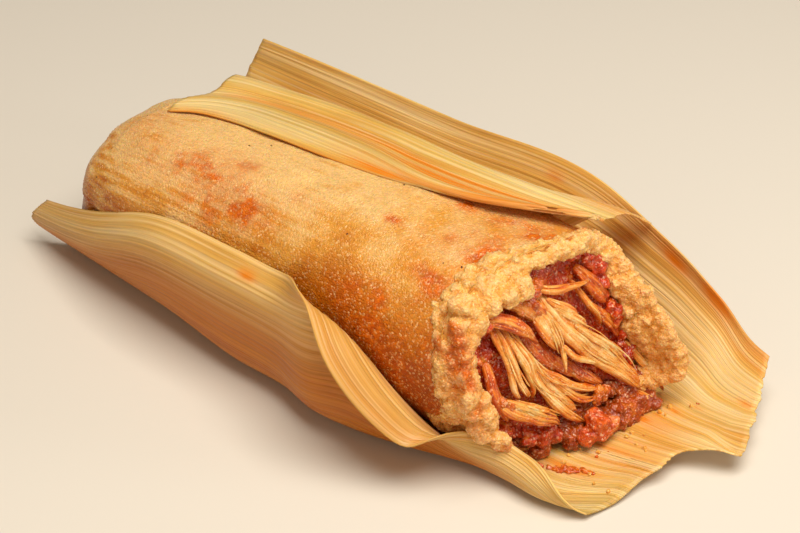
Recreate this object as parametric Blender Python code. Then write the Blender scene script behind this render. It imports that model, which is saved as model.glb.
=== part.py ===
"""A steamed tamale lying in its opened corn husk, with one end torn open on its chicken filling.

The husk is a long sheet: a flat floor between two walls, each with a cross-section worked out from the
heading of the sheet as it runs away from the middle. The dough, the filling and the pieces of meat are
closed lofts. Everything is worked out in millimetres, with +X towards the torn end, and moved at the end
so that the origin is at the middle of the underside.
"""

import bpy
import numpy as np
from mathutils import Matrix, Vector

MM = 0.001
GAP = 0.35

# The corn husk under everything, and the second leaf over the back of the dough.
HUSK_THICKNESS = 0.9
HUSK_ROWS = 31
HUSK_SIDE_COLUMNS = 17
LEAF_THICKNESS = 0.7
LEAF_ROWS = 22
LEAF_COLUMNS = 11

# The dough.
DOUGH_REAR = -75.0
DOUGH_TOP = 39.5
DOUGH_WALL = 4.0
DOUGH_ROUNDNESS = 2.4
DOUGH_RING = 32

# The chicken filling.
FILLING_REAR = -56.0
SHRED_SIDES = 8
SHRED_ROWS = 8


def smooth(x, low, high):
    """0 below low, 1 above high, and a smooth step between them."""
    t = np.clip((x - low) / (high - low), 0.0, 1.0)
    return t * t * (3.0 - 2.0 * t)


def through(x, stations, values):
    """The smooth curve through values at the stations, read at x: cubic pieces whose slopes join."""
    at = np.asarray(stations, float)
    v = np.asarray(values, float)
    slope = np.gradient(v, at, axis=0)
    x = np.clip(x, at[0], at[-1])
    i = np.clip(np.searchsorted(at, x) - 1, 0, len(at) - 2)
    span = at[i + 1] - at[i]
    t = (x - at[i]) / span
    rise = t * t * (3.0 - 2.0 * t)
    start = t * (1.0 - t) ** 2 * span * slope[i]
    end = t * t * (t - 1.0) * span * slope[i + 1]
    return v[i] * (1.0 - rise) + v[i + 1] * rise + start + end


# ---------------------------------------------------------------- the outer husk

# Each side of the husk at stations along X: the half width of the flat floor, the length of sheet in the
# bend above it, the heading after the bend, the length of sheet in the roll at the free edge, the heading
# at that edge, and the sheet's whole width from the middle. Headings are degrees above the floor.
NEAR_STATIONS = (-84, -60, -40, -20, -6, 4, 13, 22, 29, 35, 41, 49, 58)
NEAR_SIDE = {
    "floor": (6, 10, 11.5, 16, 17.5, 17.5, 17.5, 17.5, 16, 15, 15, 15, 14),
    "bend": (20, 22, 25, 26, 27, 27, 24, 16, 12, 8, 7, 6, 3),
    "wall": (55, 80, 86, 90, 92, 98, 105, 97, 85, 60, 60, 40, 10),
    "roll": (8, 8, 12, 15, 10, 8, 14, 14, 12, 10, 9, 9, 3),
    "edge": (75, 92, 106, 118, 115, 50, -40, -45, -20, 80, 150, 130, 20),
    "width": (28, 36, 45, 54, 58, 60, 59, 48, 38, 32, 29, 27, 17),
}
FAR_STATIONS = (-78, -60, -20, 20, 33, 41, 50, 58, 66)
FAR_SIDE = {
    "floor": (17, 17, 17, 17, 18, 18, 18, 20, 20),
    "bend": (22, 22, 22, 22, 20, 18, 14, 10, 6),
    "wall": (65, 64, 65, 66, 60, 55, 45, 32, 22),
    "roll": (10, 10, 10, 10, 8, 7, 6, 5, 4),
    "edge": (80, 70, 66, 72, 95, 110, 110, 80, 40),
    "width": (56, 56, 56, 56, 52, 49, 44, 38, 34),
}


def husk_x(v):
    """Where the sheet starts and ends along X at v, from -1 at the near edge to 1 at the far one."""
    start = through(v, (-1, -0.85, -0.5, -0.2, 0.4, 0.8, 1), (-81, -84.5, -77, -73, -74, -76, -73))
    end = through(v, (-1, -0.6, 0, 0.2, 0.3, 0.5, 0.75, 1), (58, 60, 62.5, 65, 71.5, 70.5, 67, 63.5))
    return start, end


def husk_wall(x, s, stations, side):
    """(outward, height) of the point s millimetres along the sheet from its middle, at x."""
    at = {name: through(x, stations, values) for name, values in side.items()}
    steps = 48
    y = np.zeros_like(s)
    z = np.zeros_like(s)
    for k in range(steps):
        here = s * (k + 0.5) / steps
        bent = at["wall"] * smooth(here, at["floor"], at["floor"] + at["bend"])
        turned = (at["edge"] - at["wall"]) * smooth(here, at["width"] - at["roll"], at["width"])
        heading = np.radians(bent + turned)
        y += np.cos(heading) * s / steps
        z += np.sin(heading) * s / steps
    return y, z


def husk_point(u, v):
    """The underside of the husk at u along the ribs and v across them, from -1 to 1."""
    start, end = husk_x(v)
    x = start + u * (end - start)
    near = np.abs(np.minimum(v, 0.0)) * through(x, NEAR_STATIONS, NEAR_SIDE["width"])
    far = np.maximum(v, 0.0) * through(x, FAR_STATIONS, FAR_SIDE["width"])
    near_y, near_z = husk_wall(x, near, NEAR_STATIONS, NEAR_SIDE)
    far_y, far_z = husk_wall(x, far, FAR_STATIONS, FAR_SIDE)
    y = far_y - near_y
    beyond = np.maximum(x - 45.0, 0.0)
    lift = 0.3 * beyond**2 / (beyond + 8.0) * smooth(y, -14.0, 4.0)
    dip = 2.5 * np.exp(-(((y - 11.5) / 2.2) ** 2)) * smooth(x, 63.0, 71.0)
    return np.stack([x, y, near_z + far_z + lift - dip], -1)


# ---------------------------------------------------------------- the dough

def tear_x(y, z):
    """X of the torn face at (y, z): the far wall reaches furthest, the near wall least."""
    depth = (DOUGH_TOP - z) / DOUGH_TOP
    low = smooth(36.0 - z, 0.0, 22.0) * (1.0 - 0.7 * smooth(12.0 - z, 0.0, 12.0))
    far_wall = 12.0 * smooth(y, 8.0, 22.0) * low
    near_wall = 3.5 * smooth(-y, 10.0, 22.0) + 6.0 * smooth(-y, 16.0, 22.0) * smooth(17.0 - z, 0.0, 6.0)
    crumb = 3.5 * np.exp(-(((y - 2.0) / 9.0) ** 2)) * (1.0 - smooth(depth, 0.0, 0.4))
    return 34.5 + 0.08 * y + 9.0 * depth + far_wall - near_wall + crumb


def dough_section(x, angle, wall=0.0, gap=0.0):
    """(y, z) round the dough at x, inside its surface by a wall that is thickest at the sides."""
    stations = (-72, -60, -40, 0, 36)
    near = through(x, stations, (-20, -23, -24.5, -25.5, -25.5))
    far = through(x, stations, (11, 14, 17, 21, 25))
    top = through(x, stations, (31, 34, 36.5, 38.5, DOUGH_TOP))
    bottom = HUSK_THICKNESS + GAP
    half_width = (far - near) / 2 - 1.25 * wall - gap
    half_height = (top - bottom) / 2 - 0.65 * wall - gap
    power = 2.0 / DOUGH_ROUNDNESS
    c, s = np.cos(angle), np.sin(angle)
    y = (far + near) / 2 + half_width * np.sign(c) * np.abs(c) ** power
    z = (top + bottom) / 2 + half_height * np.sign(s) * np.abs(s) ** power
    return y, z


def dough_rows(rear_rows=5, length_rows=16, lip_rows=2, cavity_rows=8):
    """Rings of the closed skin of the dough: the blunt rear, the outside, the torn lip, the cavity."""
    angle = np.linspace(0, 2 * np.pi, DOUGH_RING, endpoint=False)
    rows = []
    for turn in np.linspace(0, np.pi / 2, rear_rows + 1)[1:]:
        back = 8.0 * (1 - np.cos(turn))
        y, z = dough_section(np.full_like(angle, DOUGH_REAR + back + 4.0), angle)
        y = y.mean() + (y - y.mean()) * np.sin(turn) ** 0.5
        z = z.mean() + (z - z.mean()) * np.sin(turn) ** 0.5
        rows.append(np.stack([DOUGH_REAR + back + 6.0 * z / 35.0, y, z], -1))
    start = rows[-1][:, 0]
    for share in np.linspace(0, 1, length_rows + 1)[1:]:
        x = start
        for _ in range(4):
            x = start + share * (tear_x(*dough_section(x, angle)) - start)
        rows.append(np.stack([x, *dough_section(x, angle)], -1))
    for share in np.linspace(0, 1, lip_rows + 1)[1:]:
        y, z = dough_section(x, angle, DOUGH_WALL * share)
        rows.append(np.stack([tear_x(y, z), y, z], -1))
    mouth = rows[-1][:, 0]
    for share in np.linspace(0, 1, cavity_rows + 1)[1:]:
        x = mouth + share * (FILLING_REAR - mouth)
        rows.append(np.stack([x, *dough_section(x, angle, DOUGH_WALL + 2.0 * share)], -1))
    return rows


# ---------------------------------------------------------------- the filling

def filling_x(y, z):
    """X of the front of the filling: a slope that leans back under the torn top."""
    return 45.0 - 0.34 * z + 0.12 * y


def filling_rows(length_rows=8, face_rows=3):
    """Rings of the closed skin of the filling core, from its rear to the middle of its front."""
    angle = np.linspace(0, 2 * np.pi, DOUGH_RING, endpoint=False)
    rows = []
    rear = FILLING_REAR + GAP
    mouth = dough_rows()[-9][:, 0]
    for share in np.linspace(0, 1, length_rows + 1):
        x = rear + share * (mouth - rear)
        y, z = dough_section(x, angle, DOUGH_WALL + 2.0 * (1 - share), 2 * GAP)
        front = np.minimum(filling_x(y, z), tear_x(y, z) - 0.6)
        rows.append(np.stack([np.minimum(x, front), y, z], -1))
    rim = rows[-1]
    for share in np.linspace(1, 0, face_rows + 1)[1:-1]:
        ring = rim.mean(axis=0) + share * (rim - rim.mean(axis=0))
        ring[:, 0] = filling_x(ring[:, 1], ring[:, 2])
        rows.append(ring)
    return rows


# ---------------------------------------------------------------- the second leaf

def leaf_point(u, w):
    """The underside of the leaf at u along its ribs and w across them, from its free edge to its foot."""
    start = through(w, (0, 0.5, 1), (-55, -62, -76))
    end = through(w, (0, 0.5, 1), (33, 38, 40))
    x = start + u * (end - start)
    stations = (-76, -60, -45, -34, -14, 5, 22, 36)
    edge_y = through(x, stations, (10, 11, 11.5, 9.7, 8, 5.5, 11, 19))
    ridge_y = through(x, stations, (15, 16, 16.5, 17, 17, 17.5, 20, 27))
    ridge_z = through(x, stations, (28, 31, 33.5, 35, 36.5, 36, 35.5, 35.5))
    foot_y = through(x, stations, (18, 20, 22, 23, 24, 25.5, 27.5, 29))
    half = np.linspace(0, np.pi, 181)
    section_y, section_z = dough_section(x[..., None], half)
    nearest = np.argmin(np.abs(section_y - edge_y[..., None]), -1)
    edge_z = np.take_along_axis(section_z, nearest[..., None], -1)[..., 0] + GAP + 0.3
    spots = (0, 0.28, 0.5, 0.75, 1)
    ys = (edge_y, (edge_y + ridge_y) / 2, ridge_y, foot_y + 0.5, foot_y)
    zs = (edge_z, 0.4 * edge_z + 0.6 * ridge_z + 0.6, ridge_z, 0.45 * ridge_z + 6.0, np.full_like(x, 9.0))
    grid = [through_arrays(w, spots, values) for values in (ys, zs)]
    return np.stack([x, *grid], -1)


def through_arrays(w, spots, values):
    """The smooth curve through values that are themselves arrays, read at w."""
    at = np.asarray(spots, float)
    v = np.stack(values)
    slope = np.gradient(v, at, axis=0)
    i = np.clip(np.searchsorted(at, w) - 1, 0, len(at) - 2)

    def pick(table, k):
        return np.take_along_axis(table, k[None], 0)[0]

    span = at[i + 1] - at[i]
    t = (w - at[i]) / span
    rise = t * t * (3.0 - 2.0 * t)
    ends = t * (1.0 - t) ** 2 * span * pick(slope, i) + t * t * (t - 1.0) * span * pick(slope, i + 1)
    return pick(v, i) * (1.0 - rise) + pick(v, i + 1) * rise + ends


# ---------------------------------------------------------------- the pieces on the filling

# Each piece's middle line on the filling's front as (y, z), its half widths along that line, its height
# from back to front as a share of its width, and how far off the front it lies.
SHREDS = {
    "shred_bent": (((-13.5, 28), (-14.5, 21), (-11, 14), (-4, 11.5), (4.5, 9.5)), (1.3, 2.2, 3.0, 3.6, 2.6), 0.6, 0.4),
    "shred_low": (((-14.5, 10.5), (-9.5, 7), (-3, 5)), (1.2, 1.6, 1.2), 0.8, 2.2),
    "shred_straight": (((-3.5, 30), (-0.5, 23), (5.5, 16), (13, 7.5)), (1.6, 3.0, 3.3, 2.2), 0.6, 0.4),
    "shred_hook": (((-17, 31), (-12, 30.5), (-8, 27), (-7.6, 24)), (1.1, 1.5, 1.3, 0.8), 0.9, 0.9),
    "shred_cross": (((-2, 33.5), (4, 32), (10, 28.5)), (0.8, 1.1, 0.7), 1.0, 0.4),
    "shred_side": (((11.5, 17.5), (14.2, 13.5), (15, 10)), (0.8, 1.1, 0.8), 0.9, 0.8),
    "shred_tip": (((7, 7.5), (10.5, 5.6), (13.5, 4.2)), (0.7, 1.1, 0.7), 1.0, 2.6),
    "tomato_piece": (((-2.5, 4.6), (1.5, 4.2), (5.5, 4.4)), (1.6, 2.4, 1.6), 0.9, 3.2),
}


def shred_rows(line, widths, flatness, off):
    """Rings along a piece of meat that lies on the front of the filling, round in its own section."""
    spots = np.linspace(0, 1, len(line))
    share = np.linspace(0, 1, SHRED_ROWS)
    y, z = (through(share, spots, [p[k] for p in line]) for k in (0, 1))
    half = through(share, spots, widths) * np.sqrt(np.clip(1.0 - (2 * share - 1) ** 8, 0.08, 1.0))
    front = np.array([1.0, -0.12, 0.34]) / np.sqrt(1 + 0.12**2 + 0.34**2)
    middle = np.stack([filling_x(y, z), y, z], -1) + front * (half * flatness + off)[:, None]
    along = np.gradient(middle, axis=0)
    along /= np.linalg.norm(along, axis=1, keepdims=True)
    across = np.cross(front, along)
    angle = np.linspace(0, 2 * np.pi, SHRED_SIDES, endpoint=False)
    return [
        m + w * (np.cos(angle)[:, None] * a + flatness * np.sin(angle)[:, None] * np.cross(t, a))
        for m, w, a, t in zip(middle, half, across, along)
    ]


# ---------------------------------------------------------------- building meshes

def material(name, colour, roughness):
    """A plain Principled finish."""
    made = bpy.data.materials.new(name)
    made.use_nodes = True
    shader = made.node_tree.nodes["Principled BSDF"]
    shader.inputs["Base Color"].default_value = (*colour, 1.0)
    shader.inputs["Roughness"].default_value = roughness
    shader.inputs["Metallic"].default_value = 0.0
    return made


def add_object(name, points, faces, finish):
    """A named object with its points given in millimetres."""
    mesh = bpy.data.meshes.new(name)
    mesh.from_pydata([tuple(p) for p in np.asarray(points) * MM], [], faces)
    mesh.materials.append(finish)
    mesh.shade_smooth()
    obj = bpy.data.objects.new(name, mesh)
    bpy.context.scene.collection.objects.link(obj)
    return obj


def closed_loft(name, rows, finish):
    """Joins rings of points, and closes the first and last ring on a point at its middle."""
    ring = len(rows[0])
    points = [rows[0].mean(axis=0), *np.concatenate(rows), rows[-1].mean(axis=0)]
    last = len(points) - 1
    faces = []
    for i in range(ring):
        j = (i + 1) % ring
        faces.append((0, 1 + j, 1 + i))
        faces.append((last, last - ring + i, last - ring + j))
        for row in range(len(rows) - 1):
            a = 1 + row * ring
            faces.append((a + i, a + j, a + ring + j, a + ring + i))
    return add_object(name, points, faces, finish)


def sheet(name, grid, thickness, finish):
    """A grid of points, rows along X, as a sheet with that thickness above it."""
    rows, columns = grid.shape[:2]
    faces = [
        (r * columns + c, r * columns + c + 1, (r + 1) * columns + c + 1, (r + 1) * columns + c)
        for r in range(rows - 1)
        for c in range(columns - 1)
    ]
    obj = add_object(name, grid.reshape(-1, 3), faces, finish)
    thicken = obj.modifiers.new("thickness", "SOLIDIFY")
    thicken.thickness = thickness * MM
    thicken.offset = -1.0
    return obj


bpy.context.scene.unit_settings.scale_length = 1.0
for old in list(bpy.data.objects):
    bpy.data.objects.remove(old)

husk_finish = material("dried corn husk", (0.72, 0.47, 0.18), 0.55)
leaf_finish = material("second corn husk", (0.74, 0.46, 0.16), 0.55)
dough_finish = material("steamed corn dough", (0.80, 0.52, 0.26), 0.45)
filling_finish = material("red chile sauce", (0.36, 0.06, 0.015), 0.3)
meat_finish = material("shredded chicken", (0.78, 0.36, 0.12), 0.4)
tomato_finish = material("stewed tomato", (0.50, 0.09, 0.02), 0.3)

side = np.linspace(0, 1, HUSK_SIDE_COLUMNS + 1)
across = np.concatenate([-side[::-1], side[1:]])
u, v = np.meshgrid(np.linspace(0, 1, HUSK_ROWS), across, indexing="ij")
sheet("husk_outer", husk_point(u, v), HUSK_THICKNESS, husk_finish)
u, w = np.meshgrid(np.linspace(0, 1, LEAF_ROWS), np.linspace(0, 1, LEAF_COLUMNS), indexing="ij")
sheet("husk_inner", leaf_point(u, w), LEAF_THICKNESS, leaf_finish)
closed_loft("masa", dough_rows(), dough_finish)
closed_loft("filling", filling_rows(), filling_finish)
for name, (line, widths, flatness, off) in SHREDS.items():
    finish = tomato_finish if name == "tomato_piece" else meat_finish
    closed_loft(name, shred_rows(line, widths, flatness, off), finish)

# Everything moves together, so that the origin is at the middle of the underside.
graph = bpy.context.evaluated_depsgraph_get()
pieces = list(bpy.context.scene.objects)
corners = np.concatenate([np.array([c[:] for c in o.evaluated_get(graph).bound_box]) for o in pieces])
low, high = corners.min(axis=0), corners.max(axis=0)
middle = ((low[0] + high[0]) / 2, (low[1] + high[1]) / 2, low[2])
for obj in pieces:
    obj.data.transform(Matrix.Translation(-Vector(middle)))
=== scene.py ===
"""A steamed tamale on its opened corn husk, torn open at one end on its chicken filling.

Shapes are worked out in millimetres in a working frame, with +X along the tamale towards the torn end
and +Z up, and put into meshes in metres around the CAD model's origin.
"""

import bpy
import numpy as np
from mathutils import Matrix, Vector


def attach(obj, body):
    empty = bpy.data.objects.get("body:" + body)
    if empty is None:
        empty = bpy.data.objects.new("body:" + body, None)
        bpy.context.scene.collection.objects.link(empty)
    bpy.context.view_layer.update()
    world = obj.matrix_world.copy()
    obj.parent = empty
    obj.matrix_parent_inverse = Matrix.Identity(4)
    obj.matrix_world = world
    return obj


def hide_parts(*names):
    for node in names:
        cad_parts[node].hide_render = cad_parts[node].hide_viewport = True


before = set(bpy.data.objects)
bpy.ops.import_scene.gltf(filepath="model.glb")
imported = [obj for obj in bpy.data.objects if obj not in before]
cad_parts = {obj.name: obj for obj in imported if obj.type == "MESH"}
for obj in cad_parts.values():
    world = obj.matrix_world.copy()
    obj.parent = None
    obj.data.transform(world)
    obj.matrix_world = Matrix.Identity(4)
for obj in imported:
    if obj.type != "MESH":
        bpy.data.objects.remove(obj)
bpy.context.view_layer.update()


# ------------------------------------------------------------------------------------------------
# The outer husk: one large dried corn husk, soaked and steamed so that it is supple. It is a single
# sheet about 0.35 mm thick with fine veins along it. The near wall leans in over the dough, rolls out
# towards the torn end and curls up as a lip; the far wall stands; the front is a flat tongue.
# ------------------------------------------------------------------------------------------------

MM = 0.001
MIDDLE = np.array([-6.0106, 2.6559, 0.0])    # the CAD origin in the working frame
HUSK_THICKNESS = 0.35
HUSK_ALONG = 110
HUSK_ACROSS = 400
VEIN_SPACING = 1.35
HUSK_NOMINAL_HALF = 60.0                      # millimetres that v = 1 stands for in the vein pattern
TONGUE_START = 45.0


def smooth(x, low, high):
    """0 below low, 1 above high, and the cubic step between them."""
    t = np.clip((x - low) / (high - low), 0.0, 1.0)
    return t * t * (3.0 - 2.0 * t)


def fall(x, low, high):
    """1 below low, 0 above high, and the cubic step between them."""
    return 1.0 - smooth(x, low, high)


def hump(x, middle, width):
    """A rounded bump, 1 high at the middle: e to the power of minus the square of (x - middle) / width."""
    return np.exp(-(((x - middle) / width) ** 2))


def through(x, stations, values):
    """The smooth curve through values at the stations, read at x: cubic pieces whose slopes join."""
    at = np.asarray(stations, float)
    v = np.asarray(values, float)
    slope = np.gradient(v, at, axis=0)
    x = np.clip(x, at[0], at[-1])
    i = np.clip(np.searchsorted(at, x) - 1, 0, len(at) - 2)
    span = at[i + 1] - at[i]
    t = (x - at[i]) / span
    rise = t * t * (3.0 - 2.0 * t)
    start = t * (1.0 - t) ** 2 * span * slope[i]
    end = t * t * (t - 1.0) * span * slope[i + 1]
    return v[i] * (1.0 - rise) + v[i + 1] * rise + start + end


def hashed(cell, seed):
    """A fixed number from 0 to 1 for each whole-number cell: its three coordinates multiplied and mixed."""
    c = np.asarray(cell, np.int64)
    mixed = (c[..., 0] * 73856093) ^ (c[..., 1] * 19349663) ^ (c[..., 2] * 83492791) ^ (seed * 26544357)
    mixed = ((mixed ^ (mixed >> 13)) * 1274126177) & 0x7FFFFFFF
    mixed = ((mixed ^ (mixed >> 15)) * 668265263) & 0x7FFFFFFF
    return (mixed >> 7 & 0xFFFF) / 65535.0


def noise(points, size, seed=0):
    """Value noise from -1 to 1: random numbers at the corners of cubes of that size, blended smoothly."""
    q = np.asarray(points, float) / size + 0.37 * seed
    base = np.floor(q).astype(np.int64)
    t = q - base
    t = t * t * (3.0 - 2.0 * t)
    total = np.zeros(q.shape[:-1])
    for corner in range(8):
        step = np.array([corner & 1, corner >> 1 & 1, corner >> 2 & 1])
        weight = np.prod(np.where(step, t, 1.0 - t), axis=-1)
        total += weight * hashed(base + step, seed)
    return 2.0 * total - 1.0


def noise_at(x, y, size, seed=0):
    """The same noise read on a plane."""
    flat = np.broadcast_arrays(x, y, 0.5)
    return noise(np.stack(flat, -1), size, seed)


def normals(grid):
    """Unit normals of a grid of points: its row direction crossed with its column direction."""
    along = np.gradient(grid, axis=0)
    across = np.gradient(grid, axis=1)
    n = np.cross(along, across)
    return n / np.maximum(np.linalg.norm(n, axis=-1, keepdims=True), 1e-9)


def quads(rows, columns, closed=False):
    """Faces of a grid of points stored row by row, with the last column joined to the first if closed."""
    r = np.arange(rows - 1)[:, None] * columns
    c = np.arange(columns if closed else columns - 1)[None, :]
    d = (c + 1) % columns
    return np.stack([r + c, r + columns + c, r + columns + d, r + d], -1).reshape(-1, 4)


def add_piece(name, points, faces, finish, uv=None, marks=None):
    """A smooth mesh from points in working millimetres, with a UV in metres and named marks from 0 to 1."""
    mesh = bpy.data.meshes.new(name)
    mesh.from_pydata(((points - MIDDLE) * MM).tolist(), [], [list(f) for f in faces])
    if uv is not None:
        index = np.empty(len(mesh.loops), np.int32)
        mesh.loops.foreach_get("vertex_index", index)
        layer = mesh.uv_layers.new(name="sheet")
        layer.data.foreach_set("uv", (uv[index] * MM).ravel())
    for mark, values in (marks or {}).items():
        attribute = mesh.attributes.new(mark, "FLOAT", "POINT")
        attribute.data.foreach_set("value", np.clip(values, 0.0, 1.0).astype(np.float32).ravel())
    mesh.materials.append(finish)
    mesh.shade_smooth()
    piece = bpy.data.objects.new(name, mesh)
    bpy.context.scene.collection.objects.link(piece)
    return piece


def thicken(piece, thickness):
    """Gives a sheet its thickness on the side its normals point away from."""
    solid = piece.modifiers.new("thickness", "SOLIDIFY")
    solid.thickness = thickness * MM
    solid.offset = -1.0


def linear(hex_colour):
    """An sRGB hex value as the linear colour that shaders take."""
    s = np.array([int(hex_colour[i:i + 2], 16) / 255.0 for i in (1, 3, 5)])
    value = np.where(s <= 0.04045, s / 12.92, ((s + 0.055) / 1.055) ** 2.4)
    return (*value, 1.0)


def plug(tree, node, inputs):
    """Sets sockets of a node, by name or number, to values or links them to other nodes' outputs."""
    for socket, value in inputs.items():
        if isinstance(value, bpy.types.NodeSocket):
            tree.links.new(value, node.inputs[socket])
        else:
            node.inputs[socket].default_value = value


def add(tree, kind, inputs=None, stops=(), out=0, **settings):
    """Adds a shader node, sets its properties and its ramp's stops, plugs in its inputs, and gives its
    output of that name or number."""
    made = tree.nodes.new("ShaderNode" + kind)
    for name, value in settings.items():
        setattr(made, name, value)
    for place, (position, colour) in enumerate(stops):
        ramp = made.color_ramp
        stop = ramp.elements[place] if place < 2 else ramp.elements.new(position)
        stop.position = position
        stop.color = linear(colour) if isinstance(colour, str) else (colour, colour, colour, 1.0)
    plug(tree, made, inputs or {})
    return made.outputs[out]


MIXED = {"data_type": "RGBA", "out": 2}                           # a Mix node that mixes two colours
MULTIPLIED = {**MIXED, "blend_type": "MULTIPLY"}                  # or multiplies them


def new_finish(name):
    """A material with an empty node tree, that tree, and its Principled shader."""
    finish = bpy.data.materials.new(name)
    finish.use_nodes = True
    tree = finish.node_tree
    return finish, tree, tree.nodes["Principled BSDF"]


def husk_finish(name, pale, mid, dark, stain):
    """Steamed corn husk: dried plant fibre, soaked supple. It looks like thick waxy paper: straw to golden
    tan in bands along the veins, with fine paler ribs, a satin shine, and a glow where light comes through.
    Marks: stain, where chile fat has soaked in, plus a little painted shade on the near wall; wall_shade,
    painted shade that darkens and browns the sheet where it lies in shade."""
    finish, tree, shader = new_finish(name)
    band, patch, vein, rib, fibre = 0.0046, 0.0110, 0.00105, 0.00062, 0.00026
    sheet = add(tree, "UVMap", uv_map="sheet")
    long_way = add(tree, "Mapping", {"Vector": sheet, "Scale": (0.012, 1.0, 1.0)})
    short_way = add(tree, "Mapping", {"Vector": sheet, "Scale": (0.30, 1.0, 1.0)})
    bands = add(tree, "TexNoise", {"Vector": long_way, "Scale": 1 / band, "Detail": 3.0})
    clouds = add(tree, "TexNoise", {"Vector": short_way, "Scale": 1 / patch, "Detail": 3.0})
    veins = add(tree, "TexNoise", {"Vector": long_way, "Scale": 1 / vein, "Detail": 1.0})
    ribs = add(tree, "TexNoise", {"Vector": long_way, "Scale": 1 / rib, "Detail": 1.0})
    fibres = add(tree, "TexNoise", {"Vector": long_way, "Scale": 1 / fibre, "Detail": 1.0})
    flecks = add(tree, "TexNoise", {"Vector": short_way, "Scale": 1 / rib, "Detail": 2.0})
    both = add(tree, "Mix", {0: 0.45, 2: bands, 3: clouds})
    tone = add(tree, "ValToRGB", {"Fac": both}, [(0.36, dark), (0.62, pale), (0.48, mid)])
    ribbed = add(tree, "Mix", {0: 0.35, 2: ribs, 3: fibres})
    lines = add(tree, "ValToRGB", {"Fac": ribbed}, [(0.38, 0.72), (0.60, 1.0)])
    lined = add(tree, "Mix", {0: 1.0, 6: tone, 7: lines}, **MULTIPLIED)
    standing = add(tree, "ValToRGB", {"Fac": veins}, [(0.50, 0.0), (0.62, 0.42)])
    veined = add(tree, "Mix", {0: standing, 6: lined, 7: linear("#FBE0AC")}, **MIXED)
    # Painted shade: the shaded part of the sheet is multiplied towards a darker brown.
    wall_shade_mark = add(tree, "Attribute", out="Fac", attribute_name="wall_shade")
    wall_shaded = add(tree, "Mix", {0: wall_shade_mark, 6: veined, 7: linear("#D29A40")}, **MULTIPLIED)
    stain_mark = add(tree, "Attribute", out="Fac", attribute_name="stain")
    streaks = {"From Min": 0.34, "From Max": 0.64, "To Min": 1.35, "To Max": 0.65}
    streaked = add(tree, "MapRange", {"Value": ribbed, **streaks})
    amount = add(tree, "Math", {0: stain_mark, 1: streaked}, operation="MULTIPLY", use_clamp=True)
    coloured = add(tree, "Mix", {0: amount, 6: wall_shaded, 7: linear(stain)}, **MIXED)
    wax = add(tree, "MapRange", {"Value": flecks, "To Min": 0.34, "To Max": 0.60})
    relief = add(tree, "Bump", {"Height": ribs, "Distance": 0.00026, "Strength": 0.8})
    grain = add(tree, "Bump", {"Height": fibres, "Normal": relief, "Distance": 0.00010, "Strength": 0.6})
    plug(tree, shader, {
        "Base Color": coloured, "Roughness": wax, "Normal": grain, "IOR": 1.45,
        "Subsurface Weight": 0.35, "Subsurface Radius": (1.0, 0.55, 0.14), "Subsurface Scale": 0.0012,
    })
    return finish


# Each wall of the husk at stations along X: the half width of the flat floor, the length of sheet in the
# bend above it, the heading after the bend, the length of sheet in the roll at the free edge, the heading
# at that edge, and the sheet's whole width from the middle. Headings are degrees above the floor.
NEAR_STATIONS = (-84, -60, -40, -20, -6, 4, 13, 22, 29, 35, 41, 49, 58)
NEAR_SIDE = {
    "floor": (11, 8, 10.5, 17, 17, 17.5, 17.5, 17.5, 16, 15, 15, 15, 14),
    "bend": (14, 28, 26, 18, 20, 26, 24, 16, 12, 8, 7, 6, 3),
    "wall": (70, 80, 80, 84, 88, 98, 105, 97, 85, 60, 60, 40, 10),
    "roll": (8, 10, 11, 11, 10, 8, 14, 14, 12, 10, 9, 9, 3),
    "edge": (140, 130, 150, 152, 140, 50, -40, -45, -20, 80, 150, 130, 20),
    "width": (28, 40, 51, 55.5, 56, 60, 59, 48, 38, 32, 29, 27, 17),
}
FAR_STATIONS = (-78, -60, -20, 20, 33, 41, 50, 58, 66)
FAR_SIDE = {
    "floor": (17, 17, 17, 17, 18, 18, 18, 20, 20),
    "bend": (22, 22, 22, 22, 20, 18, 14, 10, 6),
    "wall": (65, 64, 65, 66, 60, 55, 45, 32, 22),
    "roll": (10, 10, 10, 10, 8, 7, 6, 5, 4),
    "edge": (80, 70, 66, 72, 86, 92, 92, 70, 40),
    "width": (56, 56, 56, 56, 52, 49, 44, 38, 34),
}


def husk_x(v):
    """Where the sheet starts and ends along X at v, with each vein torn at its own length."""
    start = through(v, (-1, -0.85, -0.5, -0.2, 0.4, 0.8, 1), (-81, -84.5, -77, -73, -74, -76, -73))
    end = through(v, (-1, -0.6, 0, 0.2, 0.3, 0.5, 0.75, 1), (58, 60, 62.5, 65, 71.5, 70.5, 67, 63.5))
    across = v * HUSK_NOMINAL_HALF
    torn = 0.5 * noise_at(across, 1.0, 4.5, 3) + 0.35 * noise_at(across, 2.0, 1.1, 4)
    return start + 0.6 * torn + 0.3, end + torn * smooth(v, -0.3, 0.2) - 0.4


def husk_wall(x, s, stations, side):
    """(outward, height) of the point s millimetres along the sheet from its middle at x: the sum of the
    cosines and sines of the sheet's heading from the middle to there."""
    at = {name: through(x, stations, values) for name, values in side.items()}
    steps = 48
    y = np.zeros_like(s)
    z = np.zeros_like(s)
    for k in range(steps):
        here = s * (k + 0.5) / steps
        bent = at["wall"] * smooth(here, at["floor"], at["floor"] + at["bend"])
        turned = (at["edge"] - at["wall"]) * smooth(here, at["width"] - at["roll"], at["width"])
        heading = np.radians(bent + turned)
        y += np.cos(heading) * s / steps
        z += np.sin(heading) * s / steps
    return y, z


def tongue_lift(x, y):
    """How far the tongue rises off the floor: 0.3 times the square of the distance beyond its start, over
    that distance and 8 mm, and nothing on its near side."""
    beyond = np.maximum(x - TONGUE_START, 0.0)
    return 0.3 * beyond**2 / (beyond + 8.0) * smooth(y, -14.0, 4.0)


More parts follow.
